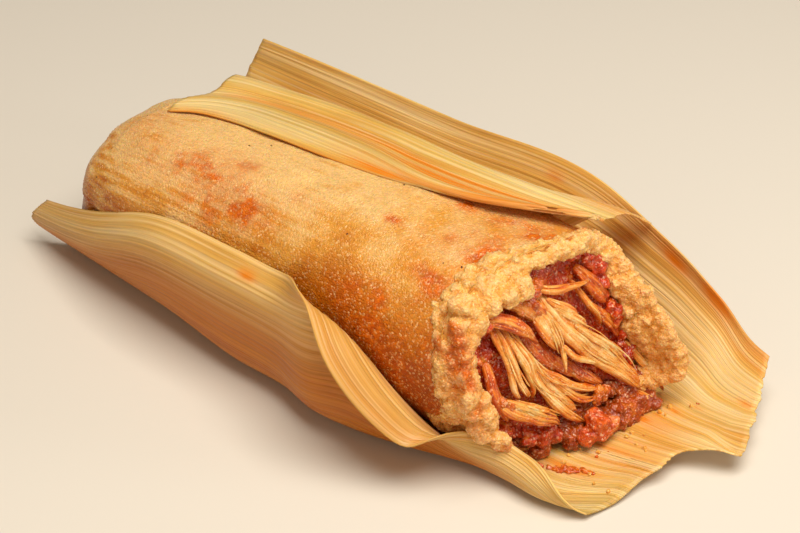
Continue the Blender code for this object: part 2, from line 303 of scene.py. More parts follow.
def husk_sheet(u, v):
    """The husk's underside at u along its veins and v across them: the walls' points joined at the middle,
    with the tongue lifted in front."""
    start, end = husk_x(v)
    x = start + u * (end - start)
    near = np.abs(np.minimum(v, 0.0)) * through(x, NEAR_STATIONS, NEAR_SIDE["width"])
    far = np.maximum(v, 0.0) * through(x, FAR_STATIONS, FAR_SIDE["width"])
    near_y, near_z = husk_wall(x, near, NEAR_STATIONS, NEAR_SIDE)
    far_y, far_z = husk_wall(x, far, FAR_STATIONS, FAR_SIDE)
    y = far_y - near_y
    dip = 2.5 * hump(y, 11.5, 2.2) * smooth(x, 63.0, 71.0)
    return np.stack([x, y, near_z + far_z + tongue_lift(x, y) - dip], -1)


def vein_relief(along, across, depth):
    """Height of the veins: rounded ridges VEIN_SPACING apart that hardly wander and fade in and out along
    the sheet, over long shallow waves."""
    wander = 0.35 * noise_at(along / 60.0, across / 7.0, 1.0, 11)
    ridge = np.cos(2 * np.pi * (across / VEIN_SPACING + wander))
    strength = 0.55 + 0.45 * noise_at(along / 45.0, across / 4.0, 1.0, 12)
    wave = noise_at(along / 70.0, across / 8.0, 1.0, 13) + 0.4 * noise_at(along / 60.0, across / 3.2, 1.0, 14)
    return depth * strength * np.maximum(ridge, -0.5) + 3.0 * depth * wave


u, v = np.meshgrid(np.linspace(0, 1, HUSK_ALONG), np.linspace(-1, 1, HUSK_ACROSS), indexing="ij")
husk = husk_sheet(u, v)
husk_up = normals(husk)
along = husk[..., 0]
across = v * HUSK_NOMINAL_HALF
calm = 1.0 - 0.55 * smooth(v, 0.1, 0.5)       # the far wall's veins stand out less
husk = husk + husk_up * (calm * vein_relief(along, across, 0.09) + 0.25)[..., None]
husk[..., 2] = np.maximum(husk[..., 2], 0.02)

# Fat has soaked into the rim of the far wall, the tongue in front of the filling, and a few spots.
rim_stain = 0.5 * smooth(v, 0.84, 0.95) * smooth(along, -10.0, 45.0)
tongue_stain = 0.55 * smooth(along, 44.0, 50.0) * fall(along, 54.0, 66.0)
tongue_stain = tongue_stain * smooth(0.6 - np.abs(v - 0.05), 0.0, 0.4)
# Each spot: along, across, size and strength.
husk_spots = (
    (-14.0, -56.0, 1.3, 0.9), (20.0, 47.0, 3.0, 0.5), (65.0, 41.0, 1.3, 0.8), (47.0, -18.0, 3.0, 0.9),
    (50.0, 16.0, 1.0, 0.7), (54.0, 24.0, 0.9, 0.6), (52.0, 20.0, 0.8, 0.6), (49.0, 58.0, 2.4, 1.0),
    (38.0, 57.0, 2.0, 0.8), (8.0, 56.0, 1.4, 0.5), (57.0, 30.0, 0.8, 0.5),
)
spots = sum(
    weight * hump(along, x, 1.6 * size) * hump(across, a, size) for x, a, size, weight in husk_spots
)
# Painted shade on the outer side of the near wall, below its lit top band and behind the torn end.
wall_shade = smooth(-v, 0.2, 0.4) * (1.0 - 0.85 * smooth(-v, 0.66, 0.92)) * fall(along, 34.0, 50.0)
patchy = 0.5 + 0.5 * noise_at(along / 10.0, across / 2.5, 1.0, 21)
clouds = np.maximum(noise_at(along / 25.0, across / 8.0, 1.0, 22), 0.0)
# The stain also takes 0.12 of the near wall's painted shade, as well as the fat.
husk_stain = (rim_stain + tongue_stain) * patchy + 0.12 * wall_shade + spots + 0.10 * clouds

husk_material = husk_finish(
    "steamed_corn_husk", pale="#F1CF8E", mid="#E8B75E", dark="#D89E46", stain="#E6820F",
)
husk_uv = np.stack([along, across], -1).reshape(-1, 2)
husk_faces = quads(HUSK_ALONG, HUSK_ACROSS)[:, ::-1]
husk_piece = add_piece(
    "husk_outer_leaf", husk.reshape(-1, 3), husk_faces, husk_material, husk_uv,
    {"stain": husk_stain, "wall_shade": wall_shade},
)
thicken(husk_piece, HUSK_THICKNESS)
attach(husk_piece, "root")
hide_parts("husk_outer")


# ------------------------------------------------------------------------------------------------
# The second leaf: a narrower strip of the same husk that lies loosely over the back of the dough, folds
# over in a ridge, and is tucked down between the dough and the far wall. It has soaked up more fat.
# ------------------------------------------------------------------------------------------------

LEAF_THICKNESS = 0.3
LEAF_ALONG = 120
LEAF_ACROSS = 170
LEAF_WIDTH = 46.0
DOUGH_ROUNDNESS = 2.4
DOUGH_TOP = 39.5
DOUGH_BOTTOM = 1.25
DOUGH_STATIONS = (-72, -60, -40, 0, 36)


def dough_size(x):
    """(middle, half width, middle height, half height) of the dough's cross-section at x."""
    near = through(x, DOUGH_STATIONS, (-20, -23, -24.5, -25.5, -25.5))
    far = through(x, DOUGH_STATIONS, (11, 14, 17, 21, 25))
    top = through(x, DOUGH_STATIONS, (31, 34, 36.5, 38.5, DOUGH_TOP))
    return (far + near) / 2, (far - near) / 2, (top + DOUGH_BOTTOM) / 2, (top - DOUGH_BOTTOM) / 2


def dough_section(x, angle, wall=0.0, gap=0.0):
    """(y, z) round the dough at x, inside its surface by a wall that is thickest at the sides: an oval
    whose cosine and sine are raised to a power below one, which squares it a little."""
    middle, half_width, height, half_height = dough_size(x)
    power = 2.0 / DOUGH_ROUNDNESS
    c, s = np.cos(angle), np.sin(angle)
    y = middle + (half_width - 1.25 * wall - gap) * np.sign(c) * np.abs(c) ** power
    z = height + (half_height - 0.65 * wall - gap) * np.sign(s) * np.abs(s) ** power
    return y, z


def dough_top(x, y):
    """Height of the dough's upper surface above (x, y)."""
    middle, half_width, height, half_height = dough_size(x)
    c = np.clip(np.abs(y - middle) / half_width, 0.0, 1.0)
    return height + half_height * (1.0 - c**DOUGH_ROUNDNESS) ** (1 / DOUGH_ROUNDNESS)


def across_curve(w, spots, values):
    """The smooth curve through values that are arrays, one for each spot along w."""
    at = np.asarray(spots, float)
    v = np.stack(values)
    slope = np.gradient(v, at, axis=0)
    i = np.clip(np.searchsorted(at, w) - 1, 0, len(at) - 2)
    before, after = (np.take_along_axis(v, (i + k)[None], 0)[0] for k in (0, 1))
    rise_before, rise_after = (np.take_along_axis(slope, (i + k)[None], 0)[0] for k in (0, 1))
    span = at[i + 1] - at[i]
    t = (w - at[i]) / span
    rise = t * t * (3.0 - 2.0 * t)
    ends = t * (1.0 - t) ** 2 * span * rise_before + t * t * (t - 1.0) * span * rise_after
    return before * (1.0 - rise) + after * rise + ends


def leaf_sheet(u, w):
    """The leaf's underside at u along its veins and w across them: from its free edge, pressed into the
    dough, over a low fold and a shallow valley to the ridge, and down to its foot, which is tucked in
    beside the dough and comes up on to the far wall's rim in front, where the end runs out on it."""
    torn = 0.4 * noise_at(w * LEAF_WIDTH, 3.0, 3.0, 31) + 0.25 * noise_at(w * LEAF_WIDTH, 4.0, 1.0, 32)
    start = through(w, (0, 0.5, 1), (-57.5, -57, -70)) + torn
    end = through(w, (0, 0.5, 1), (37, 33.4, 31.5)) + torn
    x = start + u * (end - start)
    stations = (-70, -58, -52, -45, -34, -14, 5, 14, 24, 36)
    fold_y = through(x, stations, (-4, -0.5, 4, 7, 7.2, 6.5, 3.6, 4.2, 6.8, 12.9))
    fold_lift = through(x, stations, (0.6, 0.8, 1.0, 1.1, 1.1, 1.0, 1.0, 1.3, 1.9, 2.3))
    lap = through(x, stations, (3, 4, 6, 8, 8, 7, 2.2, 1.0, 0.8, 0.7))
    lap_lift = through(x, stations, (-0.5, -0.5, -0.5, -0.5, -0.5, -0.4, 0.3, 1.2, 2.2, 2.7))
    ridge_y = through(x, stations, (14, 15, 15.2, 15.4, 15.8, 16.8, 17.0, 16.8, 17.6, 23.0))
    ridge_z = through(x, stations, (30, 33.8, 34.8, 35.4, 36.4, 36.8, 36.6, 37.2, 37.0, 33.4))
    middle_y = through(x, stations, (17, 18.8, 20.0, 20.8, 21.8, 22.8, 23.6, 24.8, 27.0, 31.4))
    middle_z = through(x, stations, (20, 22, 22, 22, 22, 22, 22.5, 26.5, 31.4, 29.0))
    foot_y = through(x, stations, (18, 20, 21, 22, 23, 24, 25.5, 29.5, 36.0, 39.3))
    foot_z = through(x, stations, (9, 9, 9, 9, 9, 9, 9.5, 17, 24.0, 21.8))
    valley_y = 0.55 * fold_y + 0.45 * ridge_y
    valley_z = np.maximum(dough_top(x, valley_y) + 0.5, 0.5 * (dough_top(x, fold_y) + ridge_z) - 0.6)
    lap_z = dough_top(x, fold_y - lap) + lap_lift
    ys = (fold_y - lap, fold_y, valley_y, ridge_y, middle_y, foot_y)
    zs = (lap_z, dough_top(x, fold_y) + fold_lift, valley_z, ridge_z, middle_z, foot_z)
    y, z = (across_curve(w, (0, 0.2, 0.34, 0.5, 0.75, 1), values) for values in (ys, zs))
    return np.stack([x, y, z], -1)


u, w = np.meshgrid(np.linspace(0, 1, LEAF_ALONG), np.linspace(0, 1, LEAF_ACROSS), indexing="ij")
leaf = leaf_sheet(u, w)
leaf_up = normals(leaf)
along = leaf[..., 0]
across = w * LEAF_WIDTH + 200.0
leaf = leaf + leaf_up * (vein_relief(along, across, 0.09) + 0.3)[..., None]
leaf_stain = 0.95 * fall(w, 0.16, 0.42) * smooth(along, -26.0, 2.0) * fall(along, 32.0, 38.0)
leaf_stain = leaf_stain + 0.8 * smooth(0.10 - np.abs(w - 0.32), 0.0, 0.08) * smooth(along, -60.0, -46.0)
leaf_stain = leaf_stain + 0.5 * fall(w, 0.0, 0.12)
leaf_stain = leaf_stain * (0.55 + 0.55 * noise_at(along / 14.0, across / 1.5, 1.0, 34))
leaf_stain = leaf_stain + 0.35 * smooth(along, 15.0, 30.0) * smooth(w, 0.5, 0.62)

leaf_material = husk_finish(
    "steamed_corn_husk_inner", pale="#F2D08E", mid="#E9BA62", dark="#D8A046", stain="#E8820F",
)
leaf_uv = np.stack([along, across], -1).reshape(-1, 2)
leaf_piece = add_piece(
    "husk_inner_leaf", leaf.reshape(-1, 3), quads(LEAF_ALONG, LEAF_ACROSS)[:, ::-1], leaf_material, leaf_uv,
    {"stain": leaf_stain},
)
thicken(leaf_piece, LEAF_THICKNESS)
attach(leaf_piece, "root")
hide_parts("husk_inner")


# ------------------------------------------------------------------------------------------------
# The dough: steamed corn masa, a moist fine-grained paste set firm. The husk has printed its veins on the
# rear, chile fat has run over it and soaked in, and the front is torn to a pale, crumbly rim.
# ------------------------------------------------------------------------------------------------

DOUGH_REAR = -75.0
DOUGH_WALL = 4.0
DOUGH_RING = 340
FILLING_REAR = -56.0
SKIN_SHORT = 0.8                              # the skin stops this far behind the tear
LIP_DEPTH = 5.0                               # and turns in to this depth behind that


def tear_x(y, z):
    """X of the torn face at (y, z): the far wall reaches furthest and the near wall least, and the edge
    is ragged at three sizes."""
    depth = (DOUGH_TOP - z) / DOUGH_TOP
    low = smooth(36.0 - z, 0.0, 22.0) * (1.0 - 0.7 * smooth(12.0 - z, 0.0, 12.0))
    far_wall = 12.0 * smooth(y, 8.0, 22.0) * low
    near_wall = 3.5 * smooth(-y, 10.0, 22.0) + 6.0 * smooth(-y, 16.0, 22.0) * smooth(17.0 - z, 0.0, 6.0)
    crumb = 3.5 * hump(y, 2.0, 9.0) * fall(depth, 0.0, 0.4)
    ragged = 1.3 * noise_at(y, z, 8.0, 41) + 0.8 * noise_at(y, z, 3.4, 42) + 0.3 * noise_at(y, z, 1.5, 43)
    return 34.0 + 0.08 * y + 9.0 * depth + far_wall - near_wall + crumb + ragged


def settled(points):
    """The dough's far shoulder has settled inwards towards the tear: y shifted by up to 6.2 mm, most on
    the upper far side."""
    x, y, z = points[..., 0], points[..., 1], points[..., 2]
    moved = points.copy()
    settling = 6.2 * smooth(z, 6.0, 20.0) - 2.6 * smooth(z, 26.0, 33.0)
    moved[..., 1] -= settling * smooth(x, 12.0, 34.0) * smooth(y, 3.0, 21.0)
    return moved


def filling_x(y, z):
    """X of the front of the filling at (y, z): a plane that leans back under the torn top."""
    return 45.0 - 0.34 * z + 0.12 * y


def dough_rows(rear_rows, lengths, lip_rows, cavity):
    """Rings of the closed skin of the dough: the blunt rear, the outside, the torn lip and the cavity,
    which closes at the filling's rear. Lengths and cavity are shares of the way along each."""
    angle = np.linspace(0, 2 * np.pi, DOUGH_RING, endpoint=False)
    rows = []
    for turn in np.linspace(0, np.pi / 2, rear_rows + 1)[1:]:
        back = 8.0 * (1 - np.cos(turn))
        y, z = dough_section(np.full_like(angle, DOUGH_REAR + back + 4.0), angle)
        y = y.mean() + (y - y.mean()) * np.sin(turn) ** 0.5
        z = z.mean() + (z - z.mean()) * np.sin(turn) ** 0.5
        rows.append(np.stack([DOUGH_REAR + back + 6.0 * z / 35.0, y, z], -1))
    start = rows[-1][:, 0]
    for share in lengths:
        x = start
        for _ in range(4):
            x = start + share * (tear_x(*dough_section(x, angle)) - SKIN_SHORT - start)
        rows.append(np.stack([x, *dough_section(x, angle)], -1))
    for share in np.linspace(0, 1, lip_rows + 1)[1:]:
        y, z = dough_section(x, angle, DOUGH_WALL * share)
        rows.append(np.stack([tear_x(y, z) - SKIN_SHORT - LIP_DEPTH * share, y, z], -1))
    mouth = rows[-1][:, 0]
    for share in cavity:
        x = mouth + share * (FILLING_REAR - mouth)
        rows.append(np.stack([x, *dough_section(x, angle, DOUGH_WALL + 2.0 * share)], -1))
    return np.stack(rows)


def closed_faces(rows, ring):
    """Quads along rings of points, and a fan to a first and a last point that close the two ends."""
    body = quads(rows, ring, closed=True)[:, ::-1] + 1
    i = np.arange(ring)
    j = (i + 1) % ring
    last = rows * ring + 1
    front = np.stack([np.zeros_like(i), 1 + j, 1 + i], -1)
    back = np.stack([np.full_like(i, last), last - ring + i, last - ring + j], -1)
    return [*body.tolist(), *front.tolist(), *back.tolist()]


def cells(points, size, seed):
    """Cell noise: distance to the nearest of the random spots, one in each cube of that size, from 0 at a
    spot to about 1 between spots."""
    q = np.asarray(points, float) / size
    base = np.floor(q).astype(np.int64)
    nearest = np.full(q.shape[:-1], 9.0)
    for step in np.ndindex(3, 3, 3):
        cell = base + np.array(step) - 1
        spot = np.stack([hashed(cell, seed + k) for k in range(3)], -1) + cell
        nearest = np.minimum(nearest, np.linalg.norm(q - spot, axis=-1))
    return nearest


rear_rows, lip_rows = 14, 16
lengths = np.concatenate([np.linspace(0, 0.76, 92)[1:], np.linspace(0.76, 1, 91)[1:]])
first_lip = rear_rows + len(lengths)
mouth_shares = np.linspace(0, 0.13, 16)[1:]
dough = settled(dough_rows(rear_rows, lengths, lip_rows, [*mouth_shares, 0.2, 0.5, 1.0]))
row = np.arange(len(dough))[:, None] * np.ones(DOUGH_RING)
dough_out = -np.cross(np.gradient(dough, axis=0), np.roll(dough, -1, axis=1) - np.roll(dough, 1, axis=1))
dough_out /= np.maximum(np.linalg.norm(dough_out, axis=-1, keepdims=True), 1e-9)
if (dough_out[60] * (dough[60] - dough[60].mean(axis=0))).sum() < 0:
    dough_out = -dough_out
x, y, z = dough[..., 0], dough[..., 1], dough[..., 2]
inside = smooth(row, first_lip + lip_rows + 9, first_lip + lip_rows + 15)
# The skin has come away for some millimetres behind the tear, most on the near side of the top.
bare = 2.6 + 6.5 * hump(y, -11.0, 9.0) * smooth(z, 24.0, 34.0)
bare = bare + 2.0 * noise(dough, 7.0, 71) + 1.3 * noise(dough, 3.0, 72) + 0.5 * noise(dough, 1.2, 73)
behind = tear_x(y, z) - x
lip = np.where(row >= first_lip, 1.0, smooth(bare - behind, -0.5, 0.5))
printed = fall(x, -38.0, 8.0) * (1.0 - lip)
skin_angle = np.arctan2(z - 19.0, y + 2.0)
print_across = 26.0 * skin_angle
relief = 0.50 * noise(dough, 17.0, 51) + 0.22 * noise(dough, 6.5, 52) + 0.05 * noise(dough, 2.6, 53)
relief = relief + printed * vein_relief(x, print_across, 0.14)
pits = np.maximum(0.30 - cells(dough, 3.4, 55), 0.0) * (1.0 - printed) * (1.0 - lip)
relief = relief - 0.9 * pits
rough = 0.45 + 0.55 * smooth(z, 24.0, 33.0) * (1.0 - 0.5 * smooth(y, 8.0, 16.0))
lobes = rough * (2.0 * (0.5 - cells(dough, 5.6, 56)) + 0.9 * (0.5 - cells(dough, 2.4, 57)))
lobes = lobes + 0.35 * (0.5 - cells(dough, 1.05, 59))
relief = relief * (1.0 - lip) + lip * (0.4 * lobes - 0.9)
dough = dough + dough_out * (relief * (1.0 - inside) - 0.15)[..., None]
dough[..., 2] = np.maximum(dough[..., 2], 0.9)

# Where chile fat lies on the skin: (x, y, length, width, strength) of each run of it.
fat_runs = (
    (-37, -15, 6, 5, 0.65), (-30, -18, 7, 4, 0.95), (-22, -20, 7, 3, 0.85), (-29, -11, 4, 2, 0.5),
    (-13, -13, 4, 2, 0.35), (7, -9.5, 2.2, 1.2, 1.0), (10, -23, 6, 3, 0.7), (16, -25, 9, 2.5, 0.6),
    (18.5, -16.5, 2.5, 1.6, 1.0), (23, -17.5, 3.5, 2.2, 0.9), (27, -14.5, 2.5, 2, 0.6), (28, -21, 3, 2, 0.9),
    (22, -9, 7, 4, 0.45), (25, -4, 6, 4, 0.5), (15, -10, 5, 3, 0.3), (31, 3, 5, 4, 0.5), (27, 3, 8, 3, 0.5),
    (38, 3, 4, 6, 0.6), (12, 3, 12, 2, 0.6), (-4, 3.5, 12, 1.8, 0.6), (33, 14, 5, 6, 0.8),
    (-60, -8, 8, 6, 0.25), (-48, -16, 9, 6, 0.35), (33, -25, 6, 1.6, 0.8),
)
runs = sum(
    weight * hump(x, run_x, length) * hump(y, run_y, width)
    for run_x, run_y, length, width, weight in fat_runs
)
broken = 0.55 + 0.55 * noise(dough, 4.0, 61) + 0.45 * noise(dough, 1.6, 62)
fat = 1.35 * runs * np.clip(broken, 0.3, 1.3) * (1.0 - 0.15 * lip)
lip_fat = lip * smooth(noise(dough, 5.5, 63) + 0.10 * (row >= first_lip), 0.20, 0.75)
# An orange streak of sauce runs down the near wall where it was torn.
streak = hump(y, -25.0, 2.2) * smooth(z, 15.0, 20.0) * smooth(x, 30.0, 34.0)
lip_fat = lip_fat + 1.1 * streak * smooth(noise(dough, 2.0, 64), -0.6, 0.2)
deep_in = smooth(row, first_lip + lip_rows - 4, first_lip + lip_rows + 3)
lip_fat = lip_fat + 1.2 * deep_in * (1.0 - 0.75 * smooth(y, 10.0, 17.0))


def gritty(tree, grits, colour, dim, pick, start, strength, glint_colour):
    """A colour broken up by the grains of a cell pattern. Each grain is dimmed by its own amount, down to
    dim, and those whose random number in channel pick is over start turn towards the glint colour, as
    painted highlights. Gives the colour and the node that holds the grains' three random numbers."""
    each = add(tree, "SeparateColor", {0: grits.node.outputs["Color"]}).node.outputs
    shade = add(tree, "ValToRGB", {"Fac": each[0]}, [(0.0, dim), (1.0, 1.0)])
    dimmed = add(tree, "Mix", {0: 1.0, 6: colour, 7: shade}, **MULTIPLIED)
    shining = add(tree, "MapRange", {"Value": each[pick], "From Min": start, "From Max": 1.0})
    share = add(tree, "Math", {0: shining, 1: strength}, operation="MULTIPLY")
    return add(tree, "Mix", {0: share, 6: dimmed, 7: linear(glint_colour)}, **MIXED), each


def dough_finish(name):
    """Steamed masa: coarse-ground corn and fat, cooked to a firm moist paste. It is painted golden on top and
    a deeper orange-tan low on its sides as shade, has painted glints on its grain, and is pale yellow-cream
    where it is freshly torn. Marks: fat, where red chile fat lies, and on the crumbs also painted shade in
    their hollows; lip, the torn rim; lit_tops, painted light on a grain as far as it stands clear of the torn
    face; printed, where the husk has left its veins, which is also painted lighter."""
    finish, tree, shader = new_finish(name)
    grain, crumb, cloud, spice, print_width = 0.00036, 0.0013, 0.0075, 0.0034, 0.0014
    printed, lit_tops, lip, fat = (
        add(tree, "Attribute", out="Fac", attribute_name=mark) for mark in ("printed", "lit_tops", "lip", "fat")
    )
    where = add(tree, "TexCoord", out="Object")
    along = add(tree, "Mapping", {"Vector": where, "Scale": (0.05, 1.0, 1.0)})
    fine = add(tree, "TexVoronoi", {"Vector": where, "Scale": 1 / grain})
    coarse = add(tree, "TexNoise", {"Vector": where, "Scale": 1 / crumb, "Detail": 3.0})
    broad = add(tree, "TexNoise", {"Vector": where, "Scale": 1 / cloud, "Detail": 4.0})
    prints = add(tree, "TexNoise", {"Vector": along, "Scale": 1 / print_width, "Detail": 2.0})
    # The skin is painted golden above and browner below as shade, cloudy all over, painted lighter at the
    # rear, and striped where the husk has printed it.
    height = add(tree, "SeparateXYZ", {0: where}, out="Z")
    height_shade_range = {"From Min": 0.015, "From Max": 0.039, "To Min": -0.12, "To Max": 0.60}
    painted_height_shade = add(tree, "MapRange", {"Value": height, **height_shade_range})
    striped = add(tree, "Math", {0: prints, 1: 0.5}, operation="SUBTRACT")
    stripes = add(tree, "Math", {0: striped, 1: printed}, operation="MULTIPLY")
    clouded = add(tree, "Math", {0: broad, 1: 0.60, 2: painted_height_shade}, operation="MULTIPLY_ADD")
    # Painted light: the rear, where the husk has printed it, is made lighter.
    painted_rear_light = add(tree, "Math", {0: printed, 1: 0.30, 2: clouded}, operation="MULTIPLY_ADD")
    toned = add(tree, "Math", {0: stripes, 1: 0.9, 2: painted_rear_light}, operation="MULTIPLY_ADD")
    golden = [(0.34, "#AC4A04"), (0.97, "#F7C880"), (0.60, "#CA7210"), (0.80, "#E6A03E")]
    skin = add(tree, "ValToRGB", {"Fac": toned}, golden)
    # The torn face is pale, and painted light makes it palest where a grain stands clear.
    torn = add(tree, "ValToRGB", {"Fac": coarse}, [(0.30, "#EC962C"), (0.62, "#FBC064")])
    top_light = add(tree, "Math", {0: lit_tops, 1: 0.66}, operation="MULTIPLY")
    torn_lit = add(tree, "Mix", {0: top_light, 6: torn, 7: linear("#FFD798")}, **MIXED)
    base = add(tree, "Mix", {0: lip, 6: skin, 7: torn_lit}, **MIXED)
    # Red fat lies over both, in patches.
    red = add(tree, "ValToRGB", {"Fac": coarse}, [(0.35, "#C04402"), (0.64, "#E87814")])
    patches = {"From Min": 0.3, "From Max": 0.7, "To Min": 0.6, "To Max": 1.4}
    soaked = add(tree, "MapRange", {"Value": coarse, **patches})
    amount = add(tree, "Math", {0: fat, 1: soaked}, operation="MULTIPLY", use_clamp=True)
    coloured = add(tree, "Mix", {0: amount, 6: base, 7: red}, **MIXED)
    # Painted glints: a few grains turn pale as highlights on the fat.
    glinted, _ = gritty(tree, fine, coloured, dim=0.78, pick=1, start=0.80, strength=0.50, glint_colour="#FFD79A")
    # A few dark specks of spice.
    spices = add(tree, "TexVoronoi", {"Vector": where, "Scale": 1 / spice})
    speck = add(tree, "Math", {0: spices, 1: 0.065}, operation="LESS_THAN")
    chosen = add(tree, "SeparateColor", {0: spices.node.outputs["Color"]})
    few = add(tree, "Math", {0: chosen, 1: 0.80}, operation="GREATER_THAN")
    dotted = add(tree, "Math", {0: speck, 1: few}, operation="MULTIPLY")
    final = add(tree, "Mix", {0: dotted, 6: glinted, 7: linear("#4E1C06")}, **MIXED)
    wetness = {"From Min": 0.35, "From Max": 0.65, "To Min": 0.40, "To Max": 0.22}
    wet = add(tree, "MapRange", {"Value": broad, **wetness})
    relief = add(tree, "Bump", {"Height": coarse, "Distance": 0.00025, "Strength": 0.5})
    sanded = {"Height": fine, "Normal": relief, "Distance": 0.00022, "Strength": 0.8}
    sand = add(tree, "Bump", sanded, invert=True)
    plug(tree, shader, {
        "Base Color": final, "Roughness": wet, "Normal": sand, "IOR": 1.42, "Specular IOR Level": 0.35,
        "Coat Weight": 0.18, "Coat Roughness": 0.10, "Coat Normal": sand,
        "Subsurface Weight": 0.35, "Subsurface Radius": (1.0, 0.42, 0.10), "Subsurface Scale": 0.0016,
    })
    return finish


def close(rings):
    """The rings' points with the middle of the first and of the last ring added as end points."""
    flat = rings.reshape(-1, 3)
    return np.concatenate([rings[0].mean(axis=0)[None], flat, rings[-1].mean(axis=0)[None]])


def with_ends(values):
    """A mark for every ring point, with the two end points given their ring's first value."""
    flat = values.ravel()
    return np.concatenate([flat[:1], flat, flat[-1:]])


dough_material = dough_finish("steamed_masa")
dough_piece = add_piece(
    "masa_body", close(dough), closed_faces(len(dough), DOUGH_RING), dough_material,
    marks={"fat": with_ends(fat + 0.75 * lip_fat), "lip": with_ends(lip), "printed": with_ends(printed)},
)
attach(dough_piece, "root")
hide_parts("masa")


# The torn face: the paste has pulled apart into lumps of a few millimetres that still hang together, and
# each lump into the grains of the ground corn.

LOOSE_CRUMBS = 260


def sphere_grid(rows, columns):
    """Unit vectors in rings from one pole of a sphere to the other, poles left out."""
    turn = np.linspace(0, np.pi, rows + 2)[1:-1, None]
    angle = np.linspace(0, 2 * np.pi, columns, endpoint=False)[None, :]
    ring = np.sin(turn)
    return np.stack([np.cos(turn) + 0 * angle, ring * np.cos(angle), ring * np.sin(angle)], -1)


def lumps(centres, sizes, rough, seed, rows=7, columns=10, grain=0.0, block=1.0):
    """Many closed lumps as one mesh: unit spheres, squared by raising their coordinates to the power
    block, stretched by three sizes, moved in and out by noise in proportion to rough, and given grains
    one millimetre apart that stand out by grain. Gives points and faces."""
    ball = sphere_grid(rows, columns)
    ball = np.concatenate([[[1.0, 0, 0]], ball.reshape(-1, 3), [[-1.0, 0, 0]]])
    ball = np.sign(ball) * np.abs(ball) ** block
    sizes = np.broadcast_to(np.asarray(sizes, float).reshape(len(centres), -1), (len(centres), 3))
    stone = ball[None] * sizes[:, None]
    place = stone + np.asarray(centres)[:, None]
    grow = 1.0 + rough * noise(place, 0.9 * float(sizes.mean()), seed)
    grow = grow + 0.5 * rough * noise(place, 0.8, seed + 1)
    if grain:
        grow = grow + grain * (0.5 - cells(place, 1.0, seed + 2)) / sizes.mean(axis=1)[:, None]
    points = centres[:, None] + stone * grow[..., None]
    one = closed_faces(rows, columns)
    count = len(ball)
    faces = [[index + k * count for index in face] for k in range(len(centres)) for face in one]
    return points.reshape(-1, 3), faces


def join(parts):
    """Puts several sets into one. Each is points, faces and any values for each point: the faces are
    renumbered and the rest laid end to end."""
    points, faces, *values = zip(*parts)
    starts = np.cumsum([0] + [len(part) for part in points]).tolist()
    faces = [[index + start for index in face] for start, part in zip(starts, faces) for face in part]
    return [np.concatenate(points), faces, *map(np.concatenate, values)]


def joined_skin(points, faces, voxel):
    """Overlapping closed lumps made one skin, by remeshing them on a grid of that size in millimetres.
    Gives the skin's points and its four-cornered faces."""
    rough = add_piece("rough_lumps", points, faces, dough_material)
    remesh = rough.modifiers.new("joined", "REMESH")
    remesh.mode = "VOXEL"
    remesh.voxel_size = voxel * MM
    made = bpy.data.meshes.new_from_object(rough.evaluated_get(bpy.context.evaluated_depsgraph_get()))
    place = np.empty(3 * len(made.vertices))
    made.vertices.foreach_get("co", place)
    corners = np.empty(len(made.loops), np.int32)
    made.loops.foreach_get("vertex_index", corners)
    bpy.data.objects.remove(rough)
    bpy.data.meshes.remove(made)
    return place.reshape(-1, 3) / MM + MIDDLE, corners.reshape(-1, 4)


def summed(index, values, count):
    """Rows of three values added up by the index that each row belongs to."""
    return np.stack([np.bincount(index, values[:, axis], count) for axis in range(3)], -1)


def skin_out(points, faces):
    """Unit normals of a skin: the sum of the normals of the faces round each point."""
    a, b, c, d = (points[faces[:, k]] for k in range(4))
    flat = np.cross(c - a, d - b)
    total = sum(summed(faces[:, k], flat, len(points)) for k in range(4))
    return total / np.maximum(np.linalg.norm(total, axis=1, keepdims=True), 1e-9)


def evened(points, faces, turns):
    """A skin evened out by moving every point to the mean of its neighbours, so many times."""
    ends = faces.ravel()
    next_ends = np.roll(faces, -1, axis=1).ravel()
    first, second = np.concatenate([ends, next_ends]), np.concatenate([next_ends, ends])
    beside = np.maximum(np.bincount(first, minlength=len(points)), 1)[:, None]
    even = points
    for _ in range(turns):
        even = summed(first, even[second], len(points)) / beside
    return even


def hollows(points, faces, out, turns):
    """How far each point of a skin lies in a hollow, in millimetres: its distance below the skin evened
    out that many times."""
    return ((evened(points, faces, turns) - points) * out).sum(-1)


def grained(points, faces, size, height, seed):
    """A skin with grains of that size that stand out by up to that height, and smaller ones between them:
    its points moved along their normals by cell noise. Gives the points and their hollows."""
    out = skin_out(points, faces)
    rise = height * (0.55 - cells(points, size, seed))
    rise = rise + 0.45 * height * (0.55 - cells(points, 0.5 * size, seed + 3))
    points = points + out * rise[:, None]
    return points, hollows(points, faces, out, 26) + 0.3 * hollows(points, faces, out, 4)


rng = np.random.default_rng(7)
# The torn face is a band round the mouth, from the edge of the skin (-1) over the tear (0) to the filling
# (1). Its lumps overlap so closely that only their tops and the hollows between them show.
round_mouth = np.radians(np.linspace(-54, 226, 70))
band_turn, band_share = np.meshgrid(round_mouth, np.linspace(-1, 1, 13), indexing="ij")
band_turn = band_turn + rng.uniform(-0.03, 0.03, band_turn.shape)
band_share = band_share + rng.uniform(-0.06, 0.06, band_share.shape)
near_top = hump(band_turn, np.radians(116), 0.60)
band_reach = 1.6 + 3.4 * near_top + 1.4 * noise_at(band_turn * 24.0, 0.0, 5.0, 31)
band_reach = band_reach + 1.3 * noise_at(band_turn * 24.0, 0.0, 2.6, 33)
band_thick = through(
    np.degrees(band_turn), (-60, -45, -33, -13, 5, 28, 50, 70, 90, 120, 140, 160, 178, 196, 214, 232),
    (1.6, 2.0, 3.0, 5.0, 4.6, 4.4, 4.2, 4.2, 4.0, 4.1, 4.4, 4.2, 5.0, 5.8, 4.4, 3.0),
)
